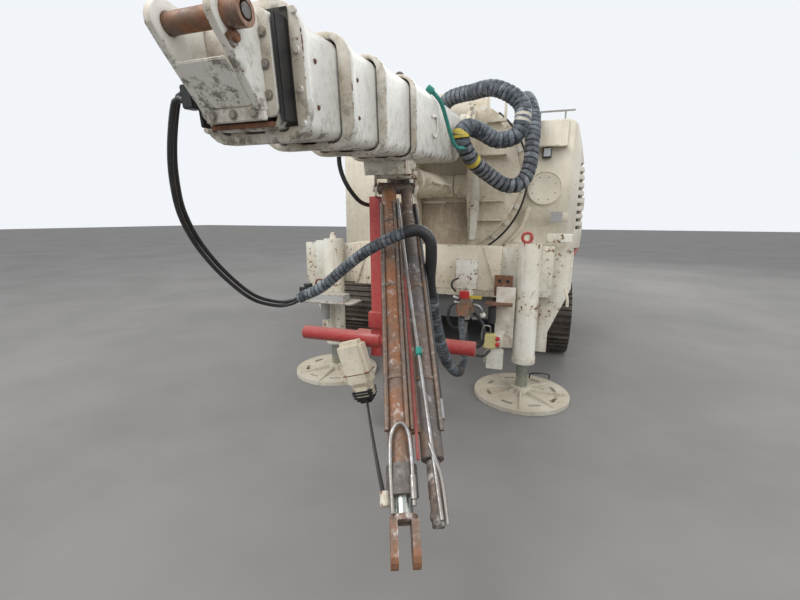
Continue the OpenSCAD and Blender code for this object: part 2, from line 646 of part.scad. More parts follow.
module nose_covers() color("ivory") {
    block([930, house_front - 22, 2345], [1235, house_front, 2590]);
    block([930, house_front - 75, 2325], [1235, house_front, 2345]);
    translate([1044, 0, 1918]) difference() {
        bar_y(house_front - 26, house_front, 178);
        bar_y(house_front - 27, house_front - 20, 162);
    }
    block([1180, house_front - 6, 1570], [1300, house_front, 1660]);
}
module work_lamp() color("dimgray") translate([1040, house_front, 2262]) {
    block([-45, -70, -45], [45, -12, 45]);
    block([-10, -30, 40], [10, -2, 62]);
    block([-20, -12, -20], [20, 0, 62]);
}
module roof_rail() color("gainsboro") translate([940, house_front + 90, roof_height]) {
    for (x = [0, 250]) block([x, 0, 0], [x + 16, 16, 96]);
    block([-20, 0, 96], [350, 16, 112]);
}

// Small gear on the front beam
tray_height = 795;
module valve_bank() color("slategray") {
    block([314, -100, 975], [506, -40, 1240]);
    block([367, -140, 860], [469, -45, 960]);
    block([340, -90, 930], [480, -40, 975]);
    translate([418, -92, 700]) cylinder(h = 160, r = 38);
}
module stop_boxes() color("burlywood") {
    block([680, -110, 470], [840, -60, 1010]);
    block([585, -170, 467], [748, -110, 589]);
    block([600, -150, 330], [740, -60, 467]);
    for (x = [625, 705]) translate([x, -190, 530]) bar_y(0, 20, 20);
}
module tool_tray() color("gray") {
    block([-1150, -330, tray_height], [-600, -99, tray_height + 17]);
    translate([-940, -215, tray_height - 175]) cylinder(h = 176, r = 42);
    block([-1100, -300, tray_height + 17], [-700, -160, tray_height + 85]);
}

at_datum() track(-1);  // track_left
at_datum() track(1);  // track_right
at_datum() track_wheels(-1);  // track_wheels_left
at_datum() track_wheels(1);  // track_wheels_right
at_datum() track_frame(-1);  // track_frame_left
at_datum() track_frame(1);  // track_frame_right
at_datum() chassis();
at_datum() cross_members();
at_datum() front_arms();
at_datum() front_plate();
at_datum() slew_ring();
at_datum() front_beam();
at_datum() jack_housing(-1);  // jack_housing_left
at_datum() jack_housing(1);  // jack_housing_right
at_datum() jack_rod(-1);  // jack_rod_left
at_datum() jack_rod(1);  // jack_rod_right
at_datum() jack_pad(-1);  // jack_pad_left
at_datum() jack_pad(1);  // jack_pad_right
at_datum() house_shell();
at_datum() deck_plate();
at_datum() side_door(-1);  // side_door_left
at_datum() side_door(1);  // side_door_right
at_datum() side_skirts();
at_datum() engine_block();
at_datum() rear_grille();
at_datum() nose_covers();
at_datum() work_lamp();
at_datum() roof_rail();
at_datum() valve_bank();
at_datum() stop_boxes();
at_datum() tool_tray();
at_datum() slew_disc();
at_datum() cradle();
at_datum() hose_bracket();
at_datum() boom_base();
at_datum() arm_bracket();
at_datum() boom_shackle();
at_datum() tee_frame();
at_datum() boom_stage(1);  // boom_stage_1
at_datum() boom_stage(2);  // boom_stage_2
at_datum() boom_stage(3);  // boom_stage_3
at_datum() boom_stage_4();
at_datum() head_cheeks();
at_datum() head_pin();
at_datum() luff_barrel();
at_datum() luff_rod();
at_datum() arm_barrel();
at_datum() arm_pipes();
at_datum() arm_rod();
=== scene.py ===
"""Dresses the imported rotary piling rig: finishes, bolts, track shoes, hoses and the small gear on it.

Points are written in millimetres in the frames of part.scad. at(), on_arm() and Kit turn them into metres in
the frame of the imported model, where -Y is the front of the rig and Z is up. Other sizes are in metres.
"""
import json
import math

import bmesh
import bpy
from bpy.props import FloatProperty, FloatVectorProperty, PointerProperty
from mathutils import Matrix, Vector

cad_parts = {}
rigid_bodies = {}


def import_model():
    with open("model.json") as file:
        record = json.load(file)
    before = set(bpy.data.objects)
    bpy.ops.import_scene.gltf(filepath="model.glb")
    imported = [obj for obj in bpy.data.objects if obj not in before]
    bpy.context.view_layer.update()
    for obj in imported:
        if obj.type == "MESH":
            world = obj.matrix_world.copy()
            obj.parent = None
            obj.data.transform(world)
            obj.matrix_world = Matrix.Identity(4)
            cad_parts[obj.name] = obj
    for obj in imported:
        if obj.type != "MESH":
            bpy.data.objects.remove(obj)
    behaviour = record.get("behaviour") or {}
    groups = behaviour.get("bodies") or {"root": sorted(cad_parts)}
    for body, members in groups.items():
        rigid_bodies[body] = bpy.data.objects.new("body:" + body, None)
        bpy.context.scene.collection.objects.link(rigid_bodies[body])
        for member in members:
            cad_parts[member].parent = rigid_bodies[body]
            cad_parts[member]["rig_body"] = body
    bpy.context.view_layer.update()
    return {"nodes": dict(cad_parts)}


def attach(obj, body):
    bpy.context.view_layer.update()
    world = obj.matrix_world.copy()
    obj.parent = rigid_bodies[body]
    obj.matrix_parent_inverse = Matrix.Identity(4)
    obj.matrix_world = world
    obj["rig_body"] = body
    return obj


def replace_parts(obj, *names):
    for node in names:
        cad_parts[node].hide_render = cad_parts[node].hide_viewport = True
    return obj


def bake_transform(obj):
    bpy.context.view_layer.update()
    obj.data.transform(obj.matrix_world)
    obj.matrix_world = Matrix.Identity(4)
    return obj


bl_info = {
    "name": "Piling rig",
    "version": (1, 0, 0),
    "blender": (4, 5, 0),
    "location": "View3D > Sidebar > Rig",
    "description": "Dresses the packed rotary piling rig",
    "category": "Object",
}

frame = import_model()
NODES = frame["nodes"]

# The frames of part.scad: Y is counted from the ground point between the jacks
Y_MIDDLE = 1139.3
BOOM_PIVOT = (0, 600, 2510)
BOOM_SLOPE = math.radians(6.2)
BOOM_DROP = 133
ARM_PIVOT = (0, -860, 1800)
ARM_SWING = math.radians(21.2)
ARM_DIP = math.radians(36.3)


def at(x, y, z):
    """A point of part.scad in the model's frame."""
    return Vector((x, y - Y_MIDDLE, z)) / 1000


DATUM = Matrix.Translation((0, -Y_MIDDLE / 1000, 0))
BOOM = Matrix.Translation(at(*BOOM_PIVOT)) @ Matrix.Rotation(BOOM_SLOPE, 4, "X")
ARM = (Matrix.Translation(at(*ARM_PIVOT)) @ Matrix.Rotation(ARM_SWING, 4, "Z")
       @ Matrix.Rotation(ARM_DIP, 4, "X"))


def on_arm(x, y, z):
    """A point of the hanging arm in the model's frame."""
    return ARM @ (Vector((x, y, z)) / 1000)


def colour(name, text, value):
    return FloatVectorProperty(name=name, description=text, subtype="COLOR", size=4, min=0, max=1,
                               default=(*value, 1))


def length(name, text, value):
    return FloatProperty(name=name, description=text, subtype="DISTANCE", unit="LENGTH", min=0, default=value)


def share(name, text, value):
    return FloatProperty(name=name, description=text, subtype="FACTOR", min=0, max=1, default=value)


class RigPaint(bpy.types.PropertyGroup):
    """Colours of the paint, the rust and the dust"""
    cream: colour("House cream", "Paint of the house, the beam and the jacks", (0.76, 0.695, 0.565))
    boom_cream: colour("Boom cream", "Paint of the boom", (0.82, 0.80, 0.735))
    red: colour("Red", "Paint of the hanging frame and the skirts", (0.34, 0.012, 0.016))
    grey: colour("Grey", "Paint of the trays and covers", (0.30, 0.31, 0.31))
    dark: colour("Chassis grey", "Paint of the undercarriage", (0.07, 0.07, 0.07))
    rust: colour("Rust", "Rust in the chips and streaks", (0.22, 0.10, 0.045))
    dust: colour("Dust", "Dust that lies on level faces", (0.42, 0.36, 0.27))
    chips: share("Chips", "How much paint has chipped off", 0.35)


class RigSizes(bpy.types.PropertyGroup):
    """Sizes of the small gear that scene.py adds"""
    edge: length("Edge", "Width of the rounding on plate edges", 0.005)
    ring_bolt: length("Ring bolt", "Width of the bolt heads on the slewing ring", 0.056)
    plate_bolt: length("Plate bolt", "Width of the bolt heads on plates", 0.024)
    side_bolt: length("Side bolt", "Width of the bolt heads on the boom's sides", 0.014)
    shoe_rib: length("Shoe rib", "Height of the ribs on a track shoe", 0.028)


class RigStage(bpy.types.PropertyGroup):
    """Floor and light of the studio"""
    floor: colour("Floor", "Floor of the studio", (0.21, 0.20, 0.19))
    sky: FloatProperty(name="Sky", description="Strength of the even light from all round", min=0,
                       default=0.95)
    key: FloatProperty(name="Key", description="Power of the large lamp over the left front",
                       subtype="POWER", unit="POWER", min=0, default=800)


class Wiring:
    """Adds nodes to one tree and joins them."""

    def __init__(self, tree):
        self.tree = tree

    def node(self, kind, settings=None, inputs=None):
        """A new node with its settings made and its inputs set or joined."""
        made = self.tree.nodes.new(kind)
        for name, value in (settings or {}).items():
            setattr(made, name, value)
        for name, value in (inputs or {}).items():
            self.feed(made.inputs[name], value)
        return made

    def feed(self, socket, value):
        if isinstance(value, bpy.types.NodeSocket):
            self.tree.links.new(value, socket)
        else:
            socket.default_value = value

    def noise(self, vector, scale, detail=5.0, roughness=0.6):
        return self.node("ShaderNodeTexNoise", None, {
            "Vector": vector, "Scale": scale, "Detail": detail, "Roughness": roughness}).outputs["Fac"]

    def ramp(self, value, low, high, to_low=0.0, to_high=1.0):
        """The value's place between low and high, as a smooth step between to_low and to_high."""
        made = self.node("ShaderNodeMapRange", {"interpolation_type": "SMOOTHSTEP"}, {
            "Value": value, "From Min": low, "From Max": high, "To Min": to_low, "To Max": to_high})
        return made.outputs["Result"]

    def math(self, operation, first, second=0.0, clamp=False):
        return self.node("ShaderNodeMath", {"operation": operation, "use_clamp": clamp}, {
            0: first, 1: second}).outputs[0]

    def mix(self, factor, first, second, blend="MIX"):
        return self.node("ShaderNodeMix", {"data_type": "RGBA", "blend_type": blend}, {
            0: factor, 6: first, 7: second}).outputs[2]

    def stretched(self, vector, scale):
        return self.node("ShaderNodeMapping", None, {"Vector": vector, "Scale": scale}).outputs[0]


def new_group(name, inputs, outputs):
    """A shader group with its named inputs and outputs, and the wiring to fill it."""
    tree = bpy.data.node_groups.new(name, "ShaderNodeTree")
    for socket, kind, value in inputs:
        made = tree.interface.new_socket(socket, in_out="INPUT", socket_type=kind)
        made.default_value = value
    for socket, kind in outputs:
        tree.interface.new_socket(socket, in_out="OUTPUT", socket_type=kind)
    wiring = Wiring(tree)
    return tree, wiring, wiring.node("NodeGroupInput").outputs, wiring.node("NodeGroupOutput")


COLOUR, FLOAT = "NodeSocketColor", "NodeSocketFloat"
# The first colour is a brownish painted shade for faces that look to the front
# The second colour is for dark specks that also paint the shade under faces that look down
FRONT_SHADE, SPECKS_AND_SHADE = (0.47, 0.39, 0.28, 1), (0.12, 0.10, 0.065, 1)
FRESH_RUST, BARE_IRON, SOOT = (0.50, 0.27, 0.10, 1), (0.045, 0.03, 0.022, 1), (0.02, 0.015, 0.01, 1)


def weathered_paint_group():
    """Paint that has faded in patches, chipped down to rust, run with stains and gathered dust, with painted
    shade on faces that look to the front and dark specks with painted shade on faces that look down.
    """
    tree, w, given, result = new_group("Weathered paint", [
        ("Paint", COLOUR, (0.8, 0.8, 0.8, 1)), ("Faded", COLOUR, (0.7, 0.7, 0.7, 1)),
        ("Rust", COLOUR, (0.3, 0.1, 0.05, 1)), ("Dust", COLOUR, (0.4, 0.35, 0.3, 1)),
        ("Chips", FLOAT, 0.35), ("Streaks", FLOAT, 0.4), ("Dust amount", FLOAT, 0.4), ("Grime", FLOAT, 0.3),
        ("Front", FLOAT, 0.0), ("Roughness", FLOAT, 0.5)],
        [("Color", COLOUR), ("Roughness", FLOAT), ("Height", FLOAT)])
    where = w.node("ShaderNodeTexCoord").outputs
    place, normal = where["Object"], w.node("ShaderNodeSeparateXYZ", None, {0: where["Normal"]}).outputs
    facing = normal["Z"]
    worn = w.node("ShaderNodeAttribute", {"attribute_name": "worn"}).outputs["Fac"]
    patches = w.noise(place, 1.6, 6)
    paint = w.mix(w.ramp(patches, 0.38, 0.66), given["Paint"], given["Faded"])
    speckle = w.noise(place, 55, 4, 0.7)
    paint = w.mix(w.ramp(speckle, 0.3, 0.75, 0.0, 0.16), paint, given["Dust"])
    # Faces that look to the front take a brownish painted shade, in clouds
    clouds = w.ramp(w.noise(place, 8, 7, 0.7), 0.35, 0.6, 0.35, 1.0)
    front_shade = w.math("MULTIPLY", w.ramp(normal["Y"], -0.6, -0.95), clouds)
    paint = w.mix(w.math("MULTIPLY", front_shade, given["Front"], True), paint, FRONT_SHADE)
    # Dark specks gather on faces that look down, where they also paint shade, and dust on those that look up
    specks_and_shade = w.noise(place, 17, 10, 0.78)
    # Faces that look down get the most: rust specks and painted shade under things
    under = w.ramp(facing, 0.2, -0.5, 0.12, 1.0)
    underside_specks_and_shade = w.math("MULTIPLY", w.ramp(specks_and_shade, 0.50, 0.58), under)
    paint = w.mix(w.math("MULTIPLY", underside_specks_and_shade, given["Grime"], True), paint, SPECKS_AND_SHADE)
    settled = w.ramp(facing, 0.35, 0.9)
    dusty = w.ramp(w.noise(place, 5, 8, 0.7), 0.3, 0.62, 0.35, 1.0)
    dust_mask = w.math("MULTIPLY", w.math("MULTIPLY", settled, dusty), given["Dust amount"], True)
    paint = w.mix(dust_mask, paint, given["Dust"])
    # Stains run down from the chips
    runs = w.noise(w.stretched(place, (13, 13, 0.8)), 1.9, 6, 0.65)
    run_mask = w.math("MULTIPLY", w.ramp(runs, 0.53, 0.72), w.ramp(patches, 0.42, 0.6, 0.2, 1.0))
    paint = w.mix(w.math("MULTIPLY", run_mask, given["Streaks"], True), paint, given["Rust"])
    # Chips: small flakes that crowd in some places and along worn edges
    flakes = w.noise(place, 26, 9, 0.72)
    crowd = w.ramp(w.noise(place, 3.1, 3), 0.35, 0.7, -0.05, 0.07)
    wear = w.math("MULTIPLY", worn, 0.13)
    level = w.math("ADD", w.math("ADD", flakes, crowd), wear)
    start = w.ramp(given["Chips"], 0, 1, 0.72, 0.54)
    halo = w.ramp(w.math("SUBTRACT", level, start), -0.045, 0.0, 0.0, 0.5)
    chip = w.ramp(w.math("SUBTRACT", level, start), 0.0, 0.014)
    stain = w.mix(0.55, given["Rust"], FRESH_RUST)
    paint = w.mix(w.math("MULTIPLY", halo, 0.7), paint, stain)
    bare = w.mix(w.ramp(w.noise(place, 70, 5), 0.4, 0.65), given["Rust"], BARE_IRON)
    w.feed(result.inputs["Color"], w.mix(chip, paint, bare))
    matt = w.math("MULTIPLY", w.math("MAXIMUM", chip, dust_mask), 0.35)
    w.feed(result.inputs["Roughness"], w.math("ADD", given["Roughness"], matt, True))
    lumps = w.math("MULTIPLY", w.noise(place, 14, 3), 0.25)
    w.feed(result.inputs["Height"], w.math("SUBTRACT", lumps, w.math("MULTIPLY", chip, 0.8)))
    return tree


def bare_metal_group():
    """Bare or rusty metal with patches of a second colour and pale scuffs along one axis."""
    tree, w, given, result = new_group("Bare metal", [
        ("Base", COLOUR, (0.3, 0.2, 0.15, 1)), ("Patches", COLOUR, (0.2, 0.2, 0.2, 1)),
        ("Scuffs", COLOUR, (0.6, 0.6, 0.6, 1)), ("Scuffing", FLOAT, 0.4), ("Scale", FLOAT, 1.0),
        ("Roughness", FLOAT, 0.6)],
        [("Color", COLOUR), ("Roughness", FLOAT), ("Height", FLOAT)])
    place = w.node("ShaderNodeTexCoord").outputs["Object"]
    scaled = w.node("ShaderNodeVectorMath", {"operation": "SCALE"}, {0: place, "Scale": given["Scale"]})
    sized = scaled.outputs[0]
    patches = w.noise(sized, 4.5, 9, 0.68)
    fine = w.noise(sized, 48, 7, 0.7)
    metal = w.mix(w.ramp(patches, 0.40, 0.58), given["Base"], given["Patches"])
    metal = w.mix(w.ramp(fine, 0.35, 0.7, 0.0, 0.55), metal, w.mix(0.5, given["Base"], SOOT))
    runs = w.noise(w.stretched(sized, (20, 20, 1.6)), 1.6, 6, 0.7)
    spots = w.noise(sized, 7, 8, 0.75)
    scuff = w.math("MULTIPLY", w.ramp(runs, 0.5, 0.68), w.ramp(spots, 0.44, 0.6))
    metal = w.mix(w.math("MULTIPLY", scuff, given["Scuffing"], True), metal, given["Scuffs"])
    w.feed(result.inputs["Color"], metal)
    uneven = w.ramp(fine, 0.3, 0.7, -0.12, 0.15)
    w.feed(result.inputs["Roughness"], w.math("ADD", given["Roughness"], uneven, True))
    relief = w.math("ADD", w.math("MULTIPLY", fine, 0.6), w.math("MULTIPLY", patches, 0.4))
    w.feed(result.inputs["Height"], relief)
    return tree


def spiral_wrap_group():
    """A band wound round a hose: dusty turns with a dark seam or an open gap between them."""
    tree, w, given, result = new_group("Spiral wrap", [
        ("Band", COLOUR, (0.1, 0.12, 0.14, 1)), ("Dusty", COLOUR, (0.3, 0.33, 0.36, 1)),
        ("Seam", COLOUR, (0.01, 0.01, 0.01, 1)), ("Pitch", FLOAT, 0.05), ("Gap", FLOAT, 0.1)],
        [("Color", COLOUR), ("Roughness", FLOAT), ("Height", FLOAT)])
    wrap = w.node("ShaderNodeUVMap", {"uv_map": "wrap"}).outputs[0]
    round_it, along = w.node("ShaderNodeSeparateXYZ", None, {0: wrap}).outputs[:2]
    count = w.math("ADD", round_it, w.math("DIVIDE", along, given["Pitch"]))
    turn = w.math("FRACT", count)
    tones = w.node("ShaderNodeTexWhiteNoise", {"noise_dimensions": "1D"}, {"W": w.math("FLOOR", count)})
    tone = tones.outputs["Value"]
    edge = w.math("ABSOLUTE", w.math("SUBTRACT", turn, 0.5))
    seam = w.ramp(edge, w.math("SUBTRACT", 0.5, given["Gap"]), w.math("SUBTRACT", 0.53, given["Gap"]))
    place = w.node("ShaderNodeTexCoord").outputs["Object"]
    patchy = w.ramp(w.noise(place, 13, 7, 0.75), 0.40, 0.60)
    dusty = w.math("MULTIPLY", patchy, w.ramp(tone, 0, 1, 0.45, 1.0))
    band = w.mix(dusty, given["Band"], given["Dusty"])
    band = w.mix(w.ramp(w.noise(place, 60, 4), 0.45, 0.75, 0.0, 0.35), band, given["Seam"])
    w.feed(result.inputs["Color"], w.mix(seam, band, given["Seam"]))
    w.feed(result.inputs["Roughness"], w.ramp(seam, 0, 1, 0.62, 0.42))
    w.feed(result.inputs["Height"], w.math("SUBTRACT", 1.0, seam))
    return tree


BUMP_DEPTH = 0.004


def new_material(name):
    """A material, the wiring of its tree and the inputs of its shader."""
    material = bpy.data.materials.new(name)
    material.use_nodes = True
    wiring = Wiring(material.node_tree)
    return material, wiring, material.node_tree.nodes["Principled BSDF"].inputs


def grouped_material(name, group, values, bump, metallic=0.0):
    """A material whose colour, roughness and bump come from one of the groups."""
    material, w, shader = new_material(name)
    made = w.node("ShaderNodeGroup", {"node_tree": group}, values)
    w.feed(shader["Base Color"], made.outputs["Color"])
    w.feed(shader["Roughness"], made.outputs["Roughness"])
    shader["Metallic"].default_value = metallic
    relief = w.node("ShaderNodeBump", None, {
        "Strength": bump, "Distance": BUMP_DEPTH, "Height": made.outputs["Height"]})
    w.feed(shader["Normal"], relief.outputs[0])
    return material


MATERIALS = {}

# Paint: its name among the user's colours or a colour of its own, the faded colour, then chips as a share of
# the user's, streaks, dust, dark specks with painted shade under faces that look down, roughness and the
# painted shade on faces that look to the front
PAINTED = {
    "cream": ("cream", (0.62, 0.55, 0.42), 1.0, 0.4, 0.55, 0.5, 0.5, 0.25),
    "house_cream": ("cream", (0.62, 0.57, 0.46), 0.5, 0.22, 0.4, 0.2, 0.42, 0.0),
    "boom_cream": ("boom_cream", (0.70, 0.69, 0.64), 0.4, 0.06, 0.4, 0.8, 0.5, 0.75),
    "jack_cream": ((0.74, 0.73, 0.66), (0.62, 0.58, 0.47), 1.5, 0.45, 0.5, 0.45, 0.5, 0.0),
    "pad_cream": ((0.60, 0.57, 0.48), (0.42, 0.38, 0.30), 1.3, 0.5, 0.75, 0.6, 0.7, 0.0),
    "red": ("red", (0.40, 0.035, 0.035), 0.7, 0.1, 0.2, 0.4, 0.35, 0.0),
    "grey": ("grey", (0.38, 0.38, 0.36), 1.0, 0.2, 0.6, 0.3, 0.5, 0.0),
    "chassis": ("dark", (0.13, 0.12, 0.10), 1.0, 0.2, 0.9, 0.2, 0.7, 0.0),
}
# Wrapped hose: colours of the band, its dust and its seam, then the band's pitch and the share that gapes
WRAPPED = {
    "blue_wrap": ((0.035, 0.043, 0.056), (0.20, 0.225, 0.25), (0.008, 0.008, 0.009), 0.050, 0.10),
    "open_wrap": ((0.06, 0.07, 0.085), (0.25, 0.27, 0.29), (0.010, 0.010, 0.011), 0.062, 0.17),
    "arm_wrap": ((0.028, 0.034, 0.042), (0.21, 0.235, 0.255), (0.008, 0.008, 0.008), 0.030, 0.11),
}
# Bare surface: its colour, that of its patches and of its scuffs, then how scuffed it is, the scale of the
# pattern, roughness, metallic and bump
BARE = {
    "rubber": ((0.016, 0.016, 0.017), (0.028, 0.028, 0.03), (0.09, 0.09, 0.09), 0.25, 1.5, 0.38, 0.0, 0.1),
    "tape": ((0.74, 0.57, 0.06), (0.50, 0.38, 0.07), (0.2, 0.16, 0.08), 0.5, 2.0, 0.5, 0.0, 0.1),
    "beige_tape": ((0.58, 0.54, 0.45), (0.40, 0.38, 0.33), (0.2, 0.2, 0.2), 0.5, 2.0, 0.6, 0.0, 0.2),
    "strap": ((0.02, 0.23, 0.18), (0.05, 0.32, 0.26), (0.4, 0.5, 0.45), 0.4, 3.0, 0.7, 0.0, 0.2),
    "yellow": ((0.75, 0.66, 0.30), (0.62, 0.53, 0.24), (0.3, 0.25, 0.15), 0.4, 1.5, 0.5, 0.0, 0.1),
    "button": ((0.60, 0.02, 0.02), (0.45, 0.02, 0.02), (0.3, 0.1, 0.1), 0.2, 2.0, 0.35, 0.0, 0.05),
    "glass": ((0.55, 0.57, 0.58), (0.45, 0.47, 0.48), (0.2, 0.2, 0.2), 0.2, 2.0, 0.15, 0.0, 0.05),
    "track": ((0.055, 0.045, 0.038), (0.10, 0.08, 0.06), (0.30, 0.28, 0.26), 0.35, 1.0, 0.6, 0.5, 0.4),
    "rust": ((0.30, 0.125, 0.055), (0.17, 0.12, 0.09), (0.60, 0.57, 0.53), 0.85, 1.0, 0.55, 0.2, 0.4),
    "dull_pipe": ((0.17, 0.145, 0.125), (0.24, 0.15, 0.10), (0.55, 0.53, 0.5), 0.6, 1.2, 0.5, 0.4, 0.2),
    "slim_rust": ((0.17, 0.115, 0.085), (0.12, 0.11, 0.105), (0.58, 0.56, 0.53), 0.8, 1.0, 0.55, 0.2, 0.4),
    "earth": ((0.40, 0.325, 0.235), (0.31, 0.25, 0.18), (0.55, 0.48, 0.38), 0.6, 0.8, 0.85, 0.0, 0.2),
    "valve_rust": ((0.33, 0.13, 0.06), (0.20, 0.15, 0.11), (0.6, 0.5, 0.4), 0.5, 2.4, 0.7, 0.1, 0.4),
    "orange_rust": ((0.24, 0.10, 0.05), (0.13, 0.07, 0.045), (0.45, 0.3, 0.2), 0.4, 1.6, 0.8, 0.0, 0.4),
    "rod": ((0.52, 0.54, 0.50), (0.42, 0.45, 0.40), (0.2, 0.2, 0.17), 0.3, 0.6, 0.24, 0.9, 0.05),
    "pipe": ((0.42, 0.42, 0.42), (0.30, 0.27, 0.24), (0.6, 0.6, 0.6), 0.5, 1.2, 0.38, 0.85, 0.1),
    "iron": ((0.10, 0.10, 0.10), (0.16, 0.13, 0.11), (0.35, 0.34, 0.32), 0.3, 1.0, 0.6, 0.3, 0.4),
    "bolt": ((0.30, 0.28, 0.25), (0.40, 0.36, 0.28), (0.5, 0.5, 0.5), 0.3, 2.0, 0.5, 0.5, 0.2),
    "lamp": ((0.03, 0.03, 0.03), (0.05, 0.05, 0.05), (0.2, 0.2, 0.2), 0.2, 1.0, 0.45, 0.0, 0.1),
    # A near-black finish that paints the shade in gaps and hollows
    "grease": ((0.025, 0.022, 0.018), (0.05, 0.04, 0.03), (0.2, 0.18, 0.15), 0.2, 1.5, 0.35, 0.1, 0.5),
}
PAINT_BUMP, WRAP_BUMP = 0.35, 0.8


def make_materials(paint):
    """Fills MATERIALS from the three tables and the user's colours."""
    coat, metal, wrap = weathered_paint_group(), bare_metal_group(), spiral_wrap_group()
    # front is the strength of the painted shade on faces that look to the front
    for name, (base, faded, chips, streaks, dust, specks_and_shade, roughness, front) in PAINTED.items():
        own = tuple(getattr(paint, base)) if isinstance(base, str) else (*base, 1)
        MATERIALS[name] = grouped_material(name, coat, {
            "Paint": own, "Faded": (*faded, 1), "Rust": tuple(paint.rust), "Dust": tuple(paint.dust),
            "Chips": paint.chips * chips, "Streaks": streaks, "Dust amount": dust, "Grime": specks_and_shade,
            "Front": front, "Roughness": roughness}, PAINT_BUMP)
    for name, (band, dusty, seam, pitch, gap) in WRAPPED.items():
        MATERIALS[name] = grouped_material(name, wrap, {
            "Band": (*band, 1), "Dusty": (*dusty, 1), "Seam": (*seam, 1), "Pitch": pitch, "Gap": gap},
            WRAP_BUMP)
    for name, (base, patches, scuffs, scuffing, scale, roughness, metallic, bump) in BARE.items():
        MATERIALS[name] = grouped_material(name, metal, {
            "Base": (*base, 1), "Patches": (*patches, 1), "Scuffs": (*scuffs, 1), "Scuffing": scuffing,
            "Scale": scale, "Roughness": roughness}, bump, metallic)


FINISH_OF = {
    "track": ["track_left", "track_right", "track_wheels_left", "track_wheels_right"],
    "chassis": ["track_frame_left", "track_frame_right", "chassis", "deck_plate", "engine_block"],
    "cream": ["front_arms", "front_plate", "slew_ring", "front_beam", "slew_disc", "cradle", "luff_barrel",
              "hose_bracket"],
    "jack_cream": ["jack_housing_left", "jack_housing_right", "valve_bank", "arm_bracket"],
    "pad_cream": ["jack_pad_left", "jack_pad_right"],
    "house_cream": ["house_shell", "side_door_left", "side_door_right", "nose_covers"],
    "boom_cream": ["boom_base", "boom_stage_1", "boom_stage_2", "boom_stage_3", "boom_stage_4", "head_cheeks",
                   "stop_boxes"],
    "red": ["side_skirts", "tee_frame"],
    "grey": ["rear_grille", "tool_tray"],
    "iron": ["boom_shackle"],
    "lamp": ["work_lamp"],
    "rod": ["jack_rod_left", "jack_rod_right", "luff_rod", "arm_rod"],
    "dull_pipe": ["arm_pipes"],
    "pipe": ["roof_rail"],
    "rust": ["arm_barrel", "head_pin"],
}
# The nodes whose edges are rounded and worn
SOFTENED = ["front_plate", "cradle", "front_beam", "front_arms", "slew_disc", "luff_barrel",
            "jack_housing_left", "jack_housing_right", "valve_bank", "arm_bracket", "boom_base",
            "boom_stage_1", "boom_stage_2", "boom_stage_3", "boom_stage_4", "head_cheeks", "stop_boxes",
            "house_shell", "nose_covers", "tee_frame", "side_skirts", "tool_tray", "work_lamp"]


def finished(obj, finish, body):
    """Gives a piece its material and its body."""
    obj.data.materials.clear()
    obj.data.materials.append(MATERIALS[finish])
    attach(obj, body)
    return obj


def new_object(name, mesh):
    """An object in the scene that shows the given data."""
    made = bpy.data.objects.new(name, mesh)
    bpy.context.scene.collection.objects.link(made)
    return made


def baked(obj, name):
    """The object with its modifiers made real, as a new object under the given name."""
    graph = bpy.context.evaluated_depsgraph_get()
    mesh = bpy.data.meshes.new_from_object(obj.evaluated_get(graph))
    bpy.data.objects.remove(obj)
    mesh.name = name
    return new_object(name, mesh)


def smooth(mesh, angle=35):
    mesh.shade_smooth()
    mesh.set_sharp_from_angle(angle=math.radians(angle))


def mesh_from(name, corners, faces):
    """A mesh from its corners and faces, with its faces turned outwards."""
    mesh = bpy.data.meshes.new(name)
    mesh.from_pydata([tuple(c) for c in corners], [], faces)
    mesh.validate()
    shape = bmesh.new()
    shape.from_mesh(mesh)
    bmesh.ops.recalc_face_normals(shape, faces=shape.faces)
    shape.to_mesh(mesh)
    shape.free()
    return mesh


MERGE_DISTANCE = 2e-5
FLAT_ANGLE, EDGE_ANGLE = math.radians(0.6), math.radians(32)


def softened(node, width, finish, segments=2):
    """A CAD node's mesh again with rounded, worn edges, which stands for the node."""
    source = NODES[node]
    shape = bmesh.new()
    shape.from_mesh(source.data)
    bmesh.ops.remove_doubles(shape, verts=shape.verts, dist=MERGE_DISTANCE)
    bmesh.ops.dissolve_limit(shape, angle_limit=FLAT_ANGLE, verts=shape.verts, edges=shape.edges)
    mesh = bpy.data.meshes.new(node)
    shape.to_mesh(mesh)
    shape.free()
    mesh.materials.clear()
    # The second slot only marks the faces of the rounding, whose wear is stored before it is dropped
    for _ in range(2):
        mesh.materials.append(MATERIALS[finish])
    rough = new_object(node + "_rough", mesh)
    bevel = rough.modifiers.new("Edges", "BEVEL")
    bevel.width = width
    bevel.segments = segments
    bevel.limit_method = "ANGLE"
    bevel.angle_limit = EDGE_ANGLE
    bevel.material = 1
    bevel.use_clamp_overlap = True
    made = baked(rough, node + "_dressed")
    worn = made.data.attributes.new("worn", "FLOAT", "FACE")
    for face in made.data.polygons:
        worn.data[face.index].value = float(face.material_index == 1)
        face.material_index = 0
    smooth(made.data, 40)
    finished(made, finish, source["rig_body"])
    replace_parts(made, node)
    return made


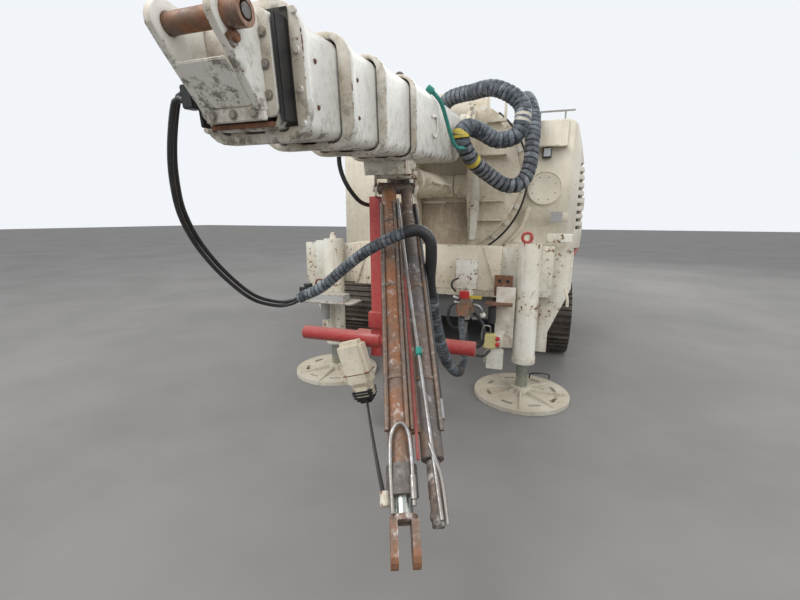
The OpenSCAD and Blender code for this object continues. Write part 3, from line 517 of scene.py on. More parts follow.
def repeat_tree():
    """Places a pattern on every point of a mesh, turned and sized by the points' own attributes."""
    tree = bpy.data.node_groups.new("Repeat on points", "GeometryNodeTree")
    tree.is_modifier = True
    for name, way, kind in [
            ("Points", "INPUT", "NodeSocketGeometry"), ("Pattern", "INPUT", "NodeSocketObject"),
            ("Finish", "INPUT", "NodeSocketMaterial"), ("Mesh", "OUTPUT", "NodeSocketGeometry")]:
        tree.interface.new_socket(name, in_out=way, socket_type=kind)
    w = Wiring(tree)
    given, result = w.node("NodeGroupInput").outputs, w.node("NodeGroupOutput")
    pattern = w.node("GeometryNodeObjectInfo", {"transform_space": "ORIGINAL"}, {"Object": given["Pattern"]})
    turn = w.node("GeometryNodeInputNamedAttribute", {"data_type": "FLOAT_VECTOR"}, {"Name": "turn"})
    rotation = w.node("FunctionNodeEulerToRotation", None, {0: turn.outputs[0]})
    size = w.node("GeometryNodeInputNamedAttribute", {"data_type": "FLOAT_VECTOR"}, {"Name": "size"})
    placed = w.node("GeometryNodeInstanceOnPoints", None, {
        "Points": given["Points"], "Instance": pattern.outputs["Geometry"], "Rotation": rotation.outputs[0],
        "Scale": size.outputs[0]})
    real = w.node("GeometryNodeRealizeInstances", None, {0: placed.outputs[0]})
    coloured = w.node("GeometryNodeSetMaterial", None, {
        "Geometry": real.outputs[0], "Material": given["Finish"]})
    w.feed(result.inputs[0], coloured.outputs[0])
    return tree


def repeated(name, pattern, places, finish, body):
    """One mesh of a pattern at each place, which is a matrix and a size."""
    mesh = bpy.data.meshes.new(name)
    mesh.from_pydata([matrix.translation for matrix, _ in places], [], [])
    turn = mesh.attributes.new("turn", "FLOAT_VECTOR", "POINT")
    size = mesh.attributes.new("size", "FLOAT_VECTOR", "POINT")
    for index, (matrix, scale) in enumerate(places):
        turn.data[index].vector = matrix.to_euler()
        size.data[index].vector = (scale, scale, scale)
    points = new_object(name + "_points", mesh)
    tree = bpy.data.node_groups.get("Repeat on points") or repeat_tree()
    modifier = points.modifiers.new("Repeat", "NODES")
    modifier.node_group = tree
    for item in tree.interface.items_tree:
        if item.name == "Pattern":
            modifier[item.identifier] = pattern
        elif item.name == "Finish":
            modifier[item.identifier] = MATERIALS[finish]
    made = baked(points, name)
    for attribute in ("turn", "size"):
        if attribute in made.data.attributes:
            made.data.attributes.remove(made.data.attributes[attribute])
    return finished(made, finish, body)


def facing(point, outward, up=(0, 0, 1)):
    """A matrix at the point whose Z looks outward."""
    z = Vector(outward).normalized()
    side = Vector(up).cross(z)
    x = side.normalized() if side.length > 1e-6 else Vector((1, 0, 0))
    turn = Matrix((x, z.cross(x), z)).transposed().to_4x4()
    return Matrix.Translation(point) @ turn


def tube_faces(rows, sides):
    """The faces between rows of corners that go round a tube, then the two that close its ends."""
    wall = [(r * sides + i, r * sides + (i + 1) % sides,
             (r + 1) * sides + (i + 1) % sides, (r + 1) * sides + i)
            for r in range(rows - 1) for i in range(sides)]
    return wall + [tuple(range(sides))[::-1], tuple(range((rows - 1) * sides, rows * sides))]


def lathe(name, profile, sides):
    """A turned shape round Z from (radius, height) points, with flat ends."""
    corners = [(radius * math.cos(math.tau * i / sides), radius * math.sin(math.tau * i / sides), height)
               for radius, height in profile for i in range(sides)]
    return new_object(name, mesh_from(name, corners, tube_faces(len(profile), sides)))


def plates(name, outline, spans):
    """Plates across X that share a (y, z) outline, one for each (low, high) of spans."""
    corners, faces, count = [], [], len(outline)
    for low, high in spans:
        first, second = len(corners), len(corners) + count
        corners += [(x, y, z) for x in (low, high) for y, z in outline]
        faces += [tuple(range(first, second)), tuple(range(second, second + count))[::-1]]
        faces += [(first + i, first + (i + 1) % count, second + (i + 1) % count, second + i)
                  for i in range(count)]
    return new_object(name, mesh_from(name, corners, faces))


# (radius, height) of a bolt's head and of its washer
BOLT_HEAD = [(0.5, 0.0), (0.5, 0.30), (0.44, 0.36)]
WASHER = [(0.68, -0.02), (0.68, 0.07), (0.64, 0.09)]
# A shoe's section, in shares of its pitch and of its rib, or of its thickness below zero
SHOE_OUTLINE = [(-0.49, -0.35), (-0.49, 0.05), (-0.40, 0.25), (-0.36, 1.0), (-0.30, 1.0), (-0.25, 0.2),
                (-0.06, 0.2), (-0.03, 1.0), (0.03, 1.0), (0.06, 0.2), (0.25, 0.2), (0.30, 1.0), (0.36, 1.0),
                (0.40, 0.25), (0.49, 0.05), (0.49, -0.35)]


def bolt_pattern():
    """A hexagon head on a washer, one metre across its corners."""
    head = lathe("bolt_head", BOLT_HEAD, 6)
    washer = lathe("bolt_washer", WASHER, 12)
    with bpy.context.temp_override(active_object=head, selected_editable_objects=[head, washer]):
        bpy.ops.object.join()
    return head


def shoe_pattern(half_width, pitch, thickness, rib):
    """One track shoe: a bent plate with three ribs, lying along X with its outside up."""
    section = [(y * pitch, z * rib if z > 0 else z * thickness) for y, z in SHOE_OUTLINE]
    return plates("shoe_pattern", section, [(-half_width, half_width)])


def curve_through(points, step):
    """Points about every step along a smooth curve through the given ones."""
    line = [2 * points[0] - points[1], *points, 2 * points[-1] - points[-2]]
    fine = []
    for a, b, c, d in zip(line, line[1:], line[2:], line[3:]):
        count = max(1, round((c - b).length / step))
        for i in range(count):
            t = i / count
            fine.append(((2 * b) + (c - a) * t + (2 * a - 5 * b + 4 * c - d) * t * t
                         + (3 * b - a - 3 * c + d) * t ** 3) / 2)
    return fine + [points[-1].copy()]


def sweep(path, radius, sides, bulge=0.0, pitch=0.05):
    """Corners, faces and lengths of a closed tube along the path, with a spiral ridge if it bulges."""
    corners, lengths, side, along = [], [], None, 0.0
    for index, point in enumerate(path):
        heading = (path[min(index + 1, len(path) - 1)] - path[max(index - 1, 0)]).normalized()
        side = side or heading.orthogonal()
        side = (side - heading * side.dot(heading)).normalized()
        other = heading.cross(side)
        along += (point - path[index - 1]).length if index else 0.0
        lengths.append(along)
        for i in range(sides):
            angle = math.tau * i / sides
            turn = (i / sides + along / pitch) % 1
            reach = radius + bulge * (1 - (2 * abs(turn - 0.5)) ** 4)
            corners.append(point + reach * (math.cos(angle) * side + math.sin(angle) * other))
    return corners, tube_faces(len(path), sides), lengths


# Radius, finish and sides of a hose, then the height of its spiral ridge and the ridge's pitch
HOSE_STYLES = {
    "ring closed": (0.066, "blue_wrap", 24, 0.009, 0.050),
    "ring open": (0.063, "open_wrap", 24, 0.009, 0.062),
    "yellow tape": (0.074, "tape", 22, 0.0, 0.05),
    "beige tape": (0.074, "beige_tape", 22, 0.0, 0.05),
    "arm": (0.030, "arm_wrap", 16, 0.003, 0.028),
    "arm sleeve": (0.033, "rubber", 16, 0.0, 0.05),
    "feed": (0.037, "arm_wrap", 18, 0.004, 0.034),
    "feed joint": (0.041, "rubber", 18, 0.0, 0.05),
    "feed rise": (0.024, "arm_wrap", 18, 0.003, 0.030),
    "head": (0.0105, "rubber", 12, 0.0, 0.05),
    "collar": (0.015, "rubber", 12, 0.0, 0.05),
    "cable": (0.009, "rubber", 10, 0.0, 0.05),
    "strap": (0.015, "strap", 6, 0.0, 0.05),
}


def hose(name, path, style, body, towards=None):
    """A hose along the path. With towards given it is left without a body, its place baked into its mesh;
    what towards holds is not read.
    """
    radius, finish, sides, bulge, pitch = HOSE_STYLES[style]
    corners, faces, lengths = sweep(path, radius, sides, bulge, pitch)
    mesh = bpy.data.meshes.new(name)
    mesh.from_pydata([tuple(c) for c in corners], [], faces)
    wrap = mesh.uv_layers.new(name="wrap")
    for face in mesh.polygons[:len(faces) - 2]:
        row, column = divmod(face.index, sides)
        for loop, (across, down) in zip(face.loop_indices, ((0, 0), (1, 0), (1, 1), (0, 1))):
            wrap.data[loop].uv = ((column + across) / sides, lengths[row + down])
    smooth(mesh, 50)
    made = new_object(name, mesh)
    if towards is None:
        return finished(made, finish, body)
    made.data.materials.append(MATERIALS[finish])
    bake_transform(made)
    return made


SHARP_ANGLE = 0.6


class Kit:
    """Gathers boxes, rods, pipes and cut plates into one piece, in millimetres of the given place."""

    def __init__(self, place=DATUM):
        self.shape = bmesh.new()
        self.place = place @ Matrix.Diagonal((0.001, 0.001, 0.001, 1))

    def box(self, low, high):
        """A box between two opposite corners."""
        low, high = Vector(low), Vector(high)
        bmesh.ops.create_cube(self.shape, size=1, matrix=self.place @ Matrix.Translation((low + high) / 2)
                              @ Matrix.Diagonal((*(high - low), 1)))
        return self

    def rod(self, start, end, radius, end_radius=None, sides=20):
        """A round bar, or a cone where the end's radius is given."""
        start, end = Vector(start), Vector(end)
        turn = (end - start).to_track_quat("Z", "Y").to_matrix().to_4x4()
        bmesh.ops.create_cone(self.shape, cap_ends=True, segments=sides, radius1=radius,
                              radius2=radius if end_radius is None else end_radius,
                              depth=(end - start).length,
                              matrix=self.place @ Matrix.Translation((start + end) / 2) @ turn)
        return self

    def pipe(self, points, radius, sides=12, step=15):
        """A closed bent pipe through the points."""
        path = curve_through([Vector(p) for p in points], step)
        corners, faces, _ = sweep(path, radius, sides)
        made = [self.shape.verts.new(self.place @ c) for c in corners]
        for face in faces:
            self.shape.faces.new([made[i] for i in face])
        return self

    def plate(self, outline, low, high):
        """A plate across X, from its (y, z) outline."""
        rows = [[self.shape.verts.new(self.place @ Vector((x, y, z))) for y, z in outline]
                for x in (low, high)]
        count = len(outline)
        self.shape.faces.new(rows[0])
        self.shape.faces.new(rows[1][::-1])
        for i in range(count):
            j = (i + 1) % count
            self.shape.faces.new((rows[0][i], rows[1][i], rows[1][j], rows[0][j]))
        return self

    def done(self, name, finish, body, edge):
        """The gathered piece, its sharp edges rounded by the given millimetres."""
        bmesh.ops.recalc_face_normals(self.shape, faces=self.shape.faces)
        if edge:
            sharp = [e for e in self.shape.edges
                     if len(e.link_faces) == 2 and e.calc_face_angle(0) > SHARP_ANGLE]
            bmesh.ops.bevel(self.shape, geom=sharp, offset=edge / 1000, segments=2, affect="EDGES",
                            clamp_overlap=True)
        mesh = bpy.data.meshes.new(name)
        self.shape.to_mesh(mesh)
        self.shape.free()
        smooth(mesh, 40)
        return finished(new_object(name, mesh), finish, body)


TRACK = {"front": 1050, "length": 3900, "height": 880, "spread": 2380, "shoe": 480, "count": 44,
         "thickness": 75, "rib": 28}


def loop_places(offset, shift=0.0):
    """Matrices along the track loop in the plane x = 0, with Y along it and Z out of it."""
    radius = (TRACK["height"] / 2 - TRACK["rib"] + offset) / 1000
    straight = (TRACK["length"] - TRACK["height"]) / 1000
    axle = at(0, TRACK["front"] + TRACK["height"] / 2, TRACK["height"] / 2)
    base = TRACK["height"] / 2000 - TRACK["rib"] / 1000
    total = 2 * straight + math.tau * base
    places = []
    for i in range(TRACK["count"]):
        s = (i + shift) * total / TRACK["count"] % total
        bend = math.pi * base
        if s < straight:
            point, angle = Vector((0, s, radius)), 0.0
        elif s < straight + bend:
            angle = -(s - straight) / base
            point = Vector((0, straight - radius * math.sin(angle), radius * math.cos(angle)))
        elif s < 2 * straight + bend:
            point, angle = Vector((0, 2 * straight + bend - s, -radius)), -math.pi
        else:
            angle = -math.pi - (s - 2 * straight - bend) / base
            point = Vector((0, -radius * math.sin(angle), radius * math.cos(angle)))
        places.append(Matrix.Translation(axle + point) @ Matrix.Rotation(angle, 4, "X"))
    return places


CAMERA = {"lens": 17.80, "sensor": 36, "pitch": 11.7686, "roll": 0.2562, "yaw": 17.8041,
          "eye": (0.916, -4.7373, 1.6)}


class RIG_OT_camera(bpy.types.Operator):
    """Places the camera where the photograph was taken"""
    bl_idname = "rig.camera"
    bl_label = "Camera"

    def execute(self, context):
        data = bpy.data.cameras.new("camera")
        data.lens = CAMERA["lens"]
        data.sensor_width = CAMERA["sensor"]
        camera = new_object("camera", data)
        pitch, roll, yaw = (math.radians(CAMERA[name]) for name in ("pitch", "roll", "yaw"))
        forward = Vector((-math.sin(yaw) * math.cos(pitch), math.cos(yaw) * math.cos(pitch),
                          -math.sin(pitch)))
        level = Vector((math.cos(yaw), math.sin(yaw), 0))
        lift = level.cross(forward)
        right = math.cos(roll) * level + math.sin(roll) * lift
        up = -math.sin(roll) * level + math.cos(roll) * lift
        camera.matrix_world = (Matrix.Translation(CAMERA["eye"])
                               @ Matrix((right, up, -forward)).transposed().to_4x4())
        context.scene.camera = camera
        return {"FINISHED"}


FLOOR_HALF = 60
FLOOR_PATCHES = (0.17, 0.165, 0.155, 1)
SKY = (0.93, 0.96, 1.0, 1)
# Name, place, width and share of the key's power
LAMPS = [("key", (-4, -7, 10), 6, 1.0), ("fill", (8, -6, 6), 6, 0.3), ("back", (3, 9, 8), 7, 0.7)]
LAMP_AIM = Vector((0, -0.6, 1.2))


class RIG_OT_stage(bpy.types.Operator):
    """Makes the studio: a gravel-grey floor, an even sky and soft lamps"""
    bl_idname = "rig.stage"
    bl_label = "Stage"

    def execute(self, context):
        look = context.scene.rig_stage
        self.floor(tuple(look.floor))
        world = bpy.data.worlds.new("sky")
        world.use_nodes = True
        background = world.node_tree.nodes["Background"].inputs
        background[0].default_value = SKY
        background[1].default_value = look.sky
        context.scene.world = world
        for name, place, size, power in LAMPS:
            lamp = bpy.data.lights.new(name, "AREA")
            lamp.shape = "SQUARE"
            lamp.size = size
            lamp.energy = look.key * power
            made = new_object(name, lamp)
            made.matrix_world = facing(Vector(place), Vector(place) - LAMP_AIM)
        context.scene.view_settings.view_transform = "Standard"
        return {"FINISHED"}

    def floor(self, tint):
        """A wide floor, mottled in two greys."""
        corners = [(x * FLOOR_HALF, y * FLOOR_HALF, 0) for x, y in ((-1, -1), (1, -1), (1, 1), (-1, 1))]
        mesh = mesh_from("floor", corners, [(0, 1, 2, 3)])
        floor = new_object("floor", mesh)
        material, w, shader = new_material("floor")
        place = w.node("ShaderNodeTexCoord").outputs["Object"]
        tone = w.mix(w.ramp(w.noise(place, 0.6, 4), 0.3, 0.7), tint, FLOOR_PATCHES)
        w.feed(shader["Base Color"], tone)
        shader["Roughness"].default_value = 0.9
        mesh.materials.append(material)


# Where the arm's finishes change, in metres of its own frame
CLEVIS_START, GLAND_START, SLIM_SIDE = -2.078, -1.905, 0.018


class RIG_OT_finishes(bpy.types.Operator):
    """Makes the materials and gives each CAD part its own"""
    bl_idname = "rig.finishes"
    bl_label = "Finishes"

    def execute(self, context):
        make_materials(context.scene.rig_paint)
        for finish, names in FINISH_OF.items():
            for name in names:
                materials = NODES[name].data.materials
                for index in range(len(materials)):
                    materials[index] = MATERIALS[finish]
                if not materials:
                    materials.append(MATERIALS[finish])
        second_finish("arm_rod", "rust", lambda place: place.y < CLEVIS_START)
        second_finish("arm_barrel", "slim_rust", lambda place: place.x > SLIM_SIDE)
        second_finish("arm_barrel", "iron", lambda place: place.x <= SLIM_SIDE and place.y < GLAND_START)
        return {"FINISHED"}


def second_finish(node, finish, chosen):
    """Gives the faces of an arm node another finish where chosen(place in the arm's frame) says so."""
    mesh, back = NODES[node].data, ARM.inverted()
    mesh.materials.append(MATERIALS[finish])
    for face in mesh.polygons:
        if chosen(back @ face.center):
            face.material_index = len(mesh.materials) - 1


class RIG_OT_edges(bpy.types.Operator):
    """Rounds and wears the edges of the plates and boxes"""
    bl_idname = "rig.edges"
    bl_label = "Worn edges"

    def execute(self, context):
        finish_of = {name: finish for finish, names in FINISH_OF.items() for name in names}
        for name in SOFTENED:
            softened(name, context.scene.rig_sizes.edge, finish_of[name])
        return {"FINISHED"}


SHOE_PITCH = 0.2
LINK_DEPTH = -45
# One chain plate, seen from the side, and the two places across the chain that hold one
LINK_OUTLINE = [(-0.098, -0.018), (-0.05, -0.03), (0.05, -0.03), (0.098, -0.018), (0.098, 0.018),
                (-0.098, 0.018)]
LINK_SIDES = ((-0.09, -0.06), (0.06, 0.09))


class RIG_OT_tracks(bpy.types.Operator):
    """Builds the track shoes and links over the plain loops"""
    bl_idname = "rig.tracks"
    bl_label = "Tracks"

    def execute(self, context):
        rib = context.scene.rig_sizes.shoe_rib
        shoe = shoe_pattern(TRACK["shoe"] / 2000, SHOE_PITCH, TRACK["thickness"] / 1000, rib)
        link = plates("link_pattern", LINK_OUTLINE, LINK_SIDES)
        for side, sign in (("left", -1), ("right", 1)):
            middle = Matrix.Translation((sign * TRACK["spread"] / 2000, 0, 0))
            over = [(middle @ m, 1.0) for m in loop_places(0, 0.5)]
            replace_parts(repeated("shoes_" + side, shoe, over, "track", "root"), "track_" + side)
            under = [(middle @ m, 1.0) for m in loop_places(LINK_DEPTH, 0.5)]
            repeated("links_" + side, link, under, "track", "root")
        bpy.data.objects.remove(shoe)
        bpy.data.objects.remove(link)
        return {"FINISHED"}


RING = {"height": 2010, "bolt_depth": 971, "bolt_circle": 815, "bolts": 26,
        "shadow_depth": 990, "shadow_circle": 862, "shadow_start": 38, "shadow_step": 6, "gap_points": 19}
COVER = {"x": 1033, "z": 1907, "bolt_circle": 122, "bolts": 8}


class RIG_OT_ring(bpy.types.Operator):
    """Adds the bolts, a dark strand of painted shadow in the gap and the small plates round the slewing ring
    """
    bl_idname = "rig.ring"
    bl_label = "Slewing ring"

    def execute(self, context):
        bolt = bolt_pattern()
        bolts = []
        for i in range(RING["bolts"]):
            angle = math.tau * i / RING["bolts"]
            point = at(RING["bolt_circle"] * math.sin(angle), RING["bolt_depth"],
                       RING["height"] + RING["bolt_circle"] * math.cos(angle))
            bolts.append((facing(point, (0, -1, 0)), context.scene.rig_sizes.ring_bolt))
        repeated("ring_bolts", bolt, bolts, "jack_cream", "root")
        bpy.data.objects.remove(bolt)
        # A black strand along the gap round the disc paints the shadow in it
        angles = [math.radians(RING["shadow_start"] + RING["shadow_step"] * i) for i in range(RING["gap_points"])]
        gap = [(RING["shadow_circle"] * math.sin(a), RING["shadow_depth"],
                RING["height"] + RING["shadow_circle"] * math.cos(a)) for a in angles]
        Kit().pipe(gap, 10, 8, 30).done("ring_gap", "rubber", "root", 0)
        conduit = [(900, 985, 1720), (872, 975, 1610), (829, 970, 1495), (755, 975, 1395), (671, 985, 1308)]
        Kit().pipe(conduit, 24, 12).done("ring_conduit", "cream", "root", 0)
        Kit().box((1122, 986, 1560), (1238, 992, 1668)).done("blank_plate", "grey", "root", 1)
        Kit().box((948, 955, 2324), (1146, 1004, 2336)).done("lamp_ledge", "cream", "root", 2)
        Kit().box((1006, 993, 2230), (1074, 999, 2312)).done("lamp_glass", "glass", "root", 2)
        return {"FINISHED"}


FIN_OUTLINE = [(308, 2133), (345, 2060), (366, 1990), (384, 1840), (384, 1710), (374, 1550), (361, 1369),
               (306, 1369)]
TEETH, TOOTH_STEP = 11, 24.5


class RIG_OT_disc(bpy.types.Operator):
    """Adds the two fins and the earthy recess of the slewing disc"""
    bl_idname = "rig.disc"
    bl_label = "Slewing disc"

    def execute(self, context):
        across = DATUM @ Matrix.Rotation(math.radians(90), 4, "Z")
        for name, side in (("fin_left", -1), ("fin_right", 1)):
            Kit(across).plate([(-side * x, z) for x, z in FIN_OUTLINE], 715, 890).done(
                name, "jack_cream", "slew", 6)
        Kit().box((-262, 892, 1300), (262, 899, 1768)).done("recess_panel", "earth", "slew", 1)
        teeth = Kit().box((-250, 870, 1768), (20, 899, 1786))
        for i in range(TEETH):
            x = -238 + TOOTH_STEP * i
            teeth.rod((x, 868, 1768), (x, 899, 1768), 11, None, 14)
        teeth.done("recess_teeth", "cream", "slew", 1)
        return {"FINISHED"}


# In the boom's frame: the front of its head plate and of the last collar, and the head pin
HEAD_FRONT, COLLAR_FRONT = -3100, -3030
PIN_Y, PIN_Z = -3232, -31
# Body, half-width of the section and place along the boom of its side bolts
SIDE_BOLTS = (("stage_3", 156, -2850), ("stage_2", 172.5, -2516))


class RIG_OT_bolts(bpy.types.Operator):
    """Sets the bolt heads on the round cover and on the boom"""
    bl_idname = "rig.bolts"
    bl_label = "Bolts"

    def execute(self, context):
        sizes = context.scene.rig_sizes
        cover = Kit()
        for i in range(COVER["bolts"]):
            angle = math.radians(22.5 + 360 / COVER["bolts"] * i)
            x = COVER["x"] + COVER["bolt_circle"] * math.cos(angle)
            z = COVER["z"] + COVER["bolt_circle"] * math.sin(angle)
            cover.rod((x, 998, z), (x, 986, z), 8, None, 6)
        cover.done("cover_bolts", "bolt", "root", 0)
        bolt = bolt_pattern()
        front = [(x, HEAD_FRONT, z - BOOM_DROP) for x in (-122, 122) for z in (95, 10, -75)]
        front += [(x, HEAD_FRONT - 26, -258) for x in (-78, 0, 78)]
        heads = [(on_boom_facing(place, (0, -1, 0)), sizes.plate_bolt) for place in front]
        repeated("head_bolts", bolt, heads, "bolt", "stage_4")
        for body, x, y in SIDE_BOLTS:
            small = [(on_boom_facing((side * x, y, z), (side, 0, 0)), sizes.side_bolt)
                     for side in (-1, 1) for z in (-64, -213)]
            repeated("side_bolts_" + body, bolt, small, "orange_rust", body)
        bpy.data.objects.remove(bolt)
        return {"FINISHED"}


def on_boom_facing(place, outward):
    """A matrix at the place in the boom's frame, whose Z looks outward there."""
    return BOOM @ facing(Vector(place) / 1000, outward)


RING_HOSE = [(-60, 896, 2640), (-60, 830, 2650), (-20, 760, 2730), (60, 700, 2785), (180, 650, 2800),
             (310, 600, 2800), (420, 500, 2790), (540, 450, 2770), (690, 420, 2690), (780, 400, 2590),
             (790, 370, 2450), (740, 350, 2330), (580, 330, 2300), (430, 250, 2370), (330, 130, 2380),
             (290, 80, 2300), (330, 150, 2190), (400, 300, 2090), (520, 450, 2000), (650, 520, 1920),
             (770, 550, 1915), (850, 600, 2000), (885, 660, 2160), (885, 750, 2360), (880, 850, 2560),
             (840, 950, 2730), (790, 1100, 2830), (755, 1350, 2810), (740, 1520, 2740), (740, 1590, 2670),
             (740, 1600, 2600)]
ARM_HOSE = [(-410, -1500, 1110), (-250, -1500, 1190), (-100, -1500, 1310), (30, -1500, 1405),
            (150, -1500, 1470), (270, -1500, 1520), (350, -1485, 1530), (400, -1460, 1480),
            (405, -1440, 1380), (390, -1400, 1250), (390, -1350, 1150)]
FEED_HOSE = [(390, -1350, 1150), (390, -1300, 1050), (400, -1200, 880), (415, -1100, 730), (440, -980, 590),
             (480, -870, 500), (500, -770, 500), (505, -690, 570), (480, -600, 640), (450, -470, 680),
             (420, -330, 690), (400, -230, 720), (392, -142, 740)]
HEAD_HOSE = [(-160, -2500, 1972), (-200, -2500, 1972), (-270, -2470, 1840), (-350, -2400, 1720),
             (-440, -2290, 1600), (-510, -2140, 1460), (-550, -1950, 1300), (-560, -1740, 1150),
             (-520, -1570, 1080), (-465, -1500, 1082), (-400, -1500, 1115)]
COLLAR_HOSE = [(-235, -1135, 2040), (-290, -1135, 2030), (-305, -1110, 1930), (-275, -1080, 1820),
               (-235, -980, 1720), (-215, -860, 1690), (-162, -860, 1690)]
STRAP = [(168, -640, 2500), (177, -620, 2496), (235, -520, 2430), (262, -430, 2330), (285, -330, 2220),
         (300, -200, 2170), (330, 20, 2190)]
# The tapes on the ring hoses: name, where one starts, its style and its number of steps along the path
TAPES = (("left", (300, 90, 2330), "yellow tape", 5), ("low", (370, 230, 2130), "yellow tape", 5),
         ("right", (785, 385, 2530), "beige tape", 9))
CABLE_SAG = Vector((0, 0, 0.03))


def routed(points, step=0.012):
    """The smooth path through points of part.scad, in the model's frame."""
    return curve_through([at(*p) for p in points], step)


def nearest(path, point):
    """The index of the path's point that lies nearest to a point of part.scad."""
    return min(range(len(path)), key=lambda i: (path[i] - at(*point)).length)


class RIG_OT_hoses(bpy.types.Operator):
    """Lays the wrapped hose bundles and the black hoses"""
    bl_idname = "rig.hoses"
    bl_label = "Hoses"

    def execute(self, context):
        self.ring_hoses()
        self.arm_hose()
        self.feed_hose()
        self.thin_hoses()
        return {"FINISHED"}

    def ring_hoses(self):
        """The thick bundle from the slewing disc over the house's edge."""
        path = routed(RING_HOSE)
        to_house = ("root", at(-60, 880, 2640), at(740, 1600, 2600))
        turn, over = nearest(path, (290, 80, 2300)), nearest(path, (885, 750, 2360))
        for name, part, style in (("upper", path[:turn + 1], "ring closed"),
                                  ("lower", path[turn:over + 1], "ring open"),
                                  ("over", path[over:], "ring closed")):
            hose("ring_hoses_" + name, part, style, "slew", to_house)
        for name, point, style, steps in TAPES:
            first = nearest(path, point)
            hose("tape_" + name, path[first:first + steps], style, "slew", to_house)

    def arm_hose(self):
        """The hose over the arm, which leaves the boom's side and ends in a smooth sleeve."""
        path = routed(ARM_HOSE, 0.010)
        crossing, sleeve = nearest(path, (100, -1500, 1440)), nearest(path, (270, -1500, 1520))
        hose("arm_hose_left", path[:crossing + 1], "arm", "boom", ("arm", path[0], path[crossing]))
        hose("arm_hose_right", path[crossing:sleeve + 1], "arm", "arm")
        hose("arm_hose_sleeve", path[sleeve:], "arm sleeve", "arm")

    def feed_hose(self):
        """The hose that goes on from the sleeve, round its low bend to the valves."""
        path = routed(FEED_HOSE, 0.010)
        front, low, back = (nearest(path, p) for p in ((430, -1030, 650), (480, -870, 500), (450, -470, 680)))
        to_slew = ("slew", path[front], path[back])
        hose("feed_hose_front", path[:front + 1], "feed", "arm", ("boom", path[0], path[front]))
        hose("feed_hose_low", path[front:low + 1], "feed", "boom", to_slew)
        hose("feed_hose_end", path[low - 4:low + 5], "feed joint", "boom", to_slew)
        hose("feed_hose_rise", path[low:back + 1], "feed rise", "boom", to_slew)
        hose("feed_hose_back", path[back:], "feed rise", "slew", ("root", path[back], path[-1]))

    def thin_hoses(self):
        """The hoses that hang from the boom's head and collar, the hood's cable and the strap."""
        to_head = ("stage_4", at(-540, -1800, 1180), at(-170, -2500, 1972))
        for name, shift in (("head_hose_front", (0, -9, -11)), ("head_hose_back", (0, 9, 9))):
            points = [tuple(a + b for a, b in zip(p, shift)) for p in HEAD_HOSE]
            hose(name, routed(points, 0.02), "head", "boom", to_head)
        hose("collar_hose", routed(COLLAR_HOSE, 0.015), "collar", "boom")
        hood, end = at(-185, -993, 240), on_arm(-112, -2040, 10)
        cable = [hood, hood.lerp(end, 0.3) - CABLE_SAG, hood.lerp(end, 0.7) - CABLE_SAG, end]
        hose("hood_cable", curve_through(cable, 0.02), "cable", "boom", ("arm", hood, end))
        hose("strap", routed(STRAP, 0.02), "strap", "boom", ("slew", at(200, -560, 2460), at(330, 20, 2190)))
        Kit().rod((160, -635, 2506), (196, -610, 2478), 24).done("strap_knot", "strap", "boom", 4)


class RIG_OT_head(bpy.types.Operator):
    """Adds the rubber strips, the slanted plate and the fittings of the boom head"""
    bl_idname = "rig.head"
    bl_label = "Boom head"

    def execute(self, context):
        self.last_collar()
        self.head_plate()
        self.pin_gear()
        base = [(206, -1290, -75), (207, -1190, -62), (207, -1140, -95), (207, -1138, -165),
                (207, -1190, -200), (206, -1290, -190)]
        Kit(BOOM).pipe(base, 11).done("base_emboss", "boom_cream", "boom", 0)
        return {"FINISHED"}

    def last_collar(self):
        """The worn strips, pad, painted shadow in the gap and bolts on the front of the last collar."""
        strips = Kit(BOOM)
        for low, high in ((-166, -150), (150, 166)):
            strips.box((low, -3092, -283), (high, COLLAR_FRONT, 15))
        strips.done("head_strips", "rubber", "stage_3", 3)
        pad = [(COLLAR_FRONT, -274), (COLLAR_FRONT, -286), (-3095, -296), (-3095, -280)]
        Kit(BOOM).plate(pad, -120, 120).done("head_pad", "orange_rust", "stage_3", 2)
        # Near-black frames at the collar's opening paint the shadow in the gap round the section
        gap = Kit(BOOM)
        for left, right, low, high in ((-172, -147, -290, 40), (147, 172, -290, 40), (-172, 172, 24, 42),
                                       (-172, 172, -292, -270)):
            gap.box((left, COLLAR_FRONT - 4, low), (right, COLLAR_FRONT + 1, high))
        gap.done("flange_gap", "grease", "stage_3", 0)
        flange = Kit(BOOM)
        places = [(side * 194, z) for side in (-1, 1) for z in (30, -75, -185, -285)]
        places += [(-70, -321), (70, -321)]
        for x, z in places:
            flange.rod((x, COLLAR_FRONT + 2, z), (x, COLLAR_FRONT - 9, z), 12, 10, 8)
        flange.done("flange_bolts", "boom_cream", "stage_3", 0)

    def head_plate(self):
        """The slanted panel, the fittings and the block where the head hoses end."""
        panel = Kit(BOOM).plate([(-3122, -229), (-3130, -237), (-3242, -132), (-3234, -124)], -85, 85)
        panel.box((-110, -3125, -278), (110, HEAD_FRONT, -236))
        panel.done("head_panel", "boom_cream", "stage_4", 3)
        fittings = Kit(BOOM).rod((-114, -3190, 20), (-124, -3190, 20), 15)
        fittings.rod((114, PIN_Y, -92), (124, PIN_Y, -92), 17)
        fittings.pipe([(-114, -3120, -150), (-150, -3135, -160), (-165, -3120, -195), (-148, -3108, -230),
                       (-120, -3105, -225)], 4)
        fittings.done("head_fittings", "bolt", "stage_4", 1)
        Kit(BOOM).box((-160, -3165, -235), (-115, -3115, -165)).done("hose_block", "rubber", "stage_4", 4)

    def pin_gear(self):
        """The painted shade in the end of the hollow pin and the plate that keeps the pin."""
        # A near-black disc in the pin's end paints the shade inside the hollow
        Kit(BOOM).rod((165, PIN_Y, PIN_Z), (172.5, PIN_Y, PIN_Z), 19, None, 24).done(
            "pin_hole", "grease", "stage_4", 0)
        keeper = Kit(BOOM).plate([(PIN_Y, -62), (-3200, -84), (PIN_Y, -112), (-3262, -86)], 115, 123)
        keeper.rod((122, PIN_Y, -86), (136, PIN_Y, -86), 15, None, 6)
        keeper.done("pin_keeper", "orange_rust", "stage_4", 2)


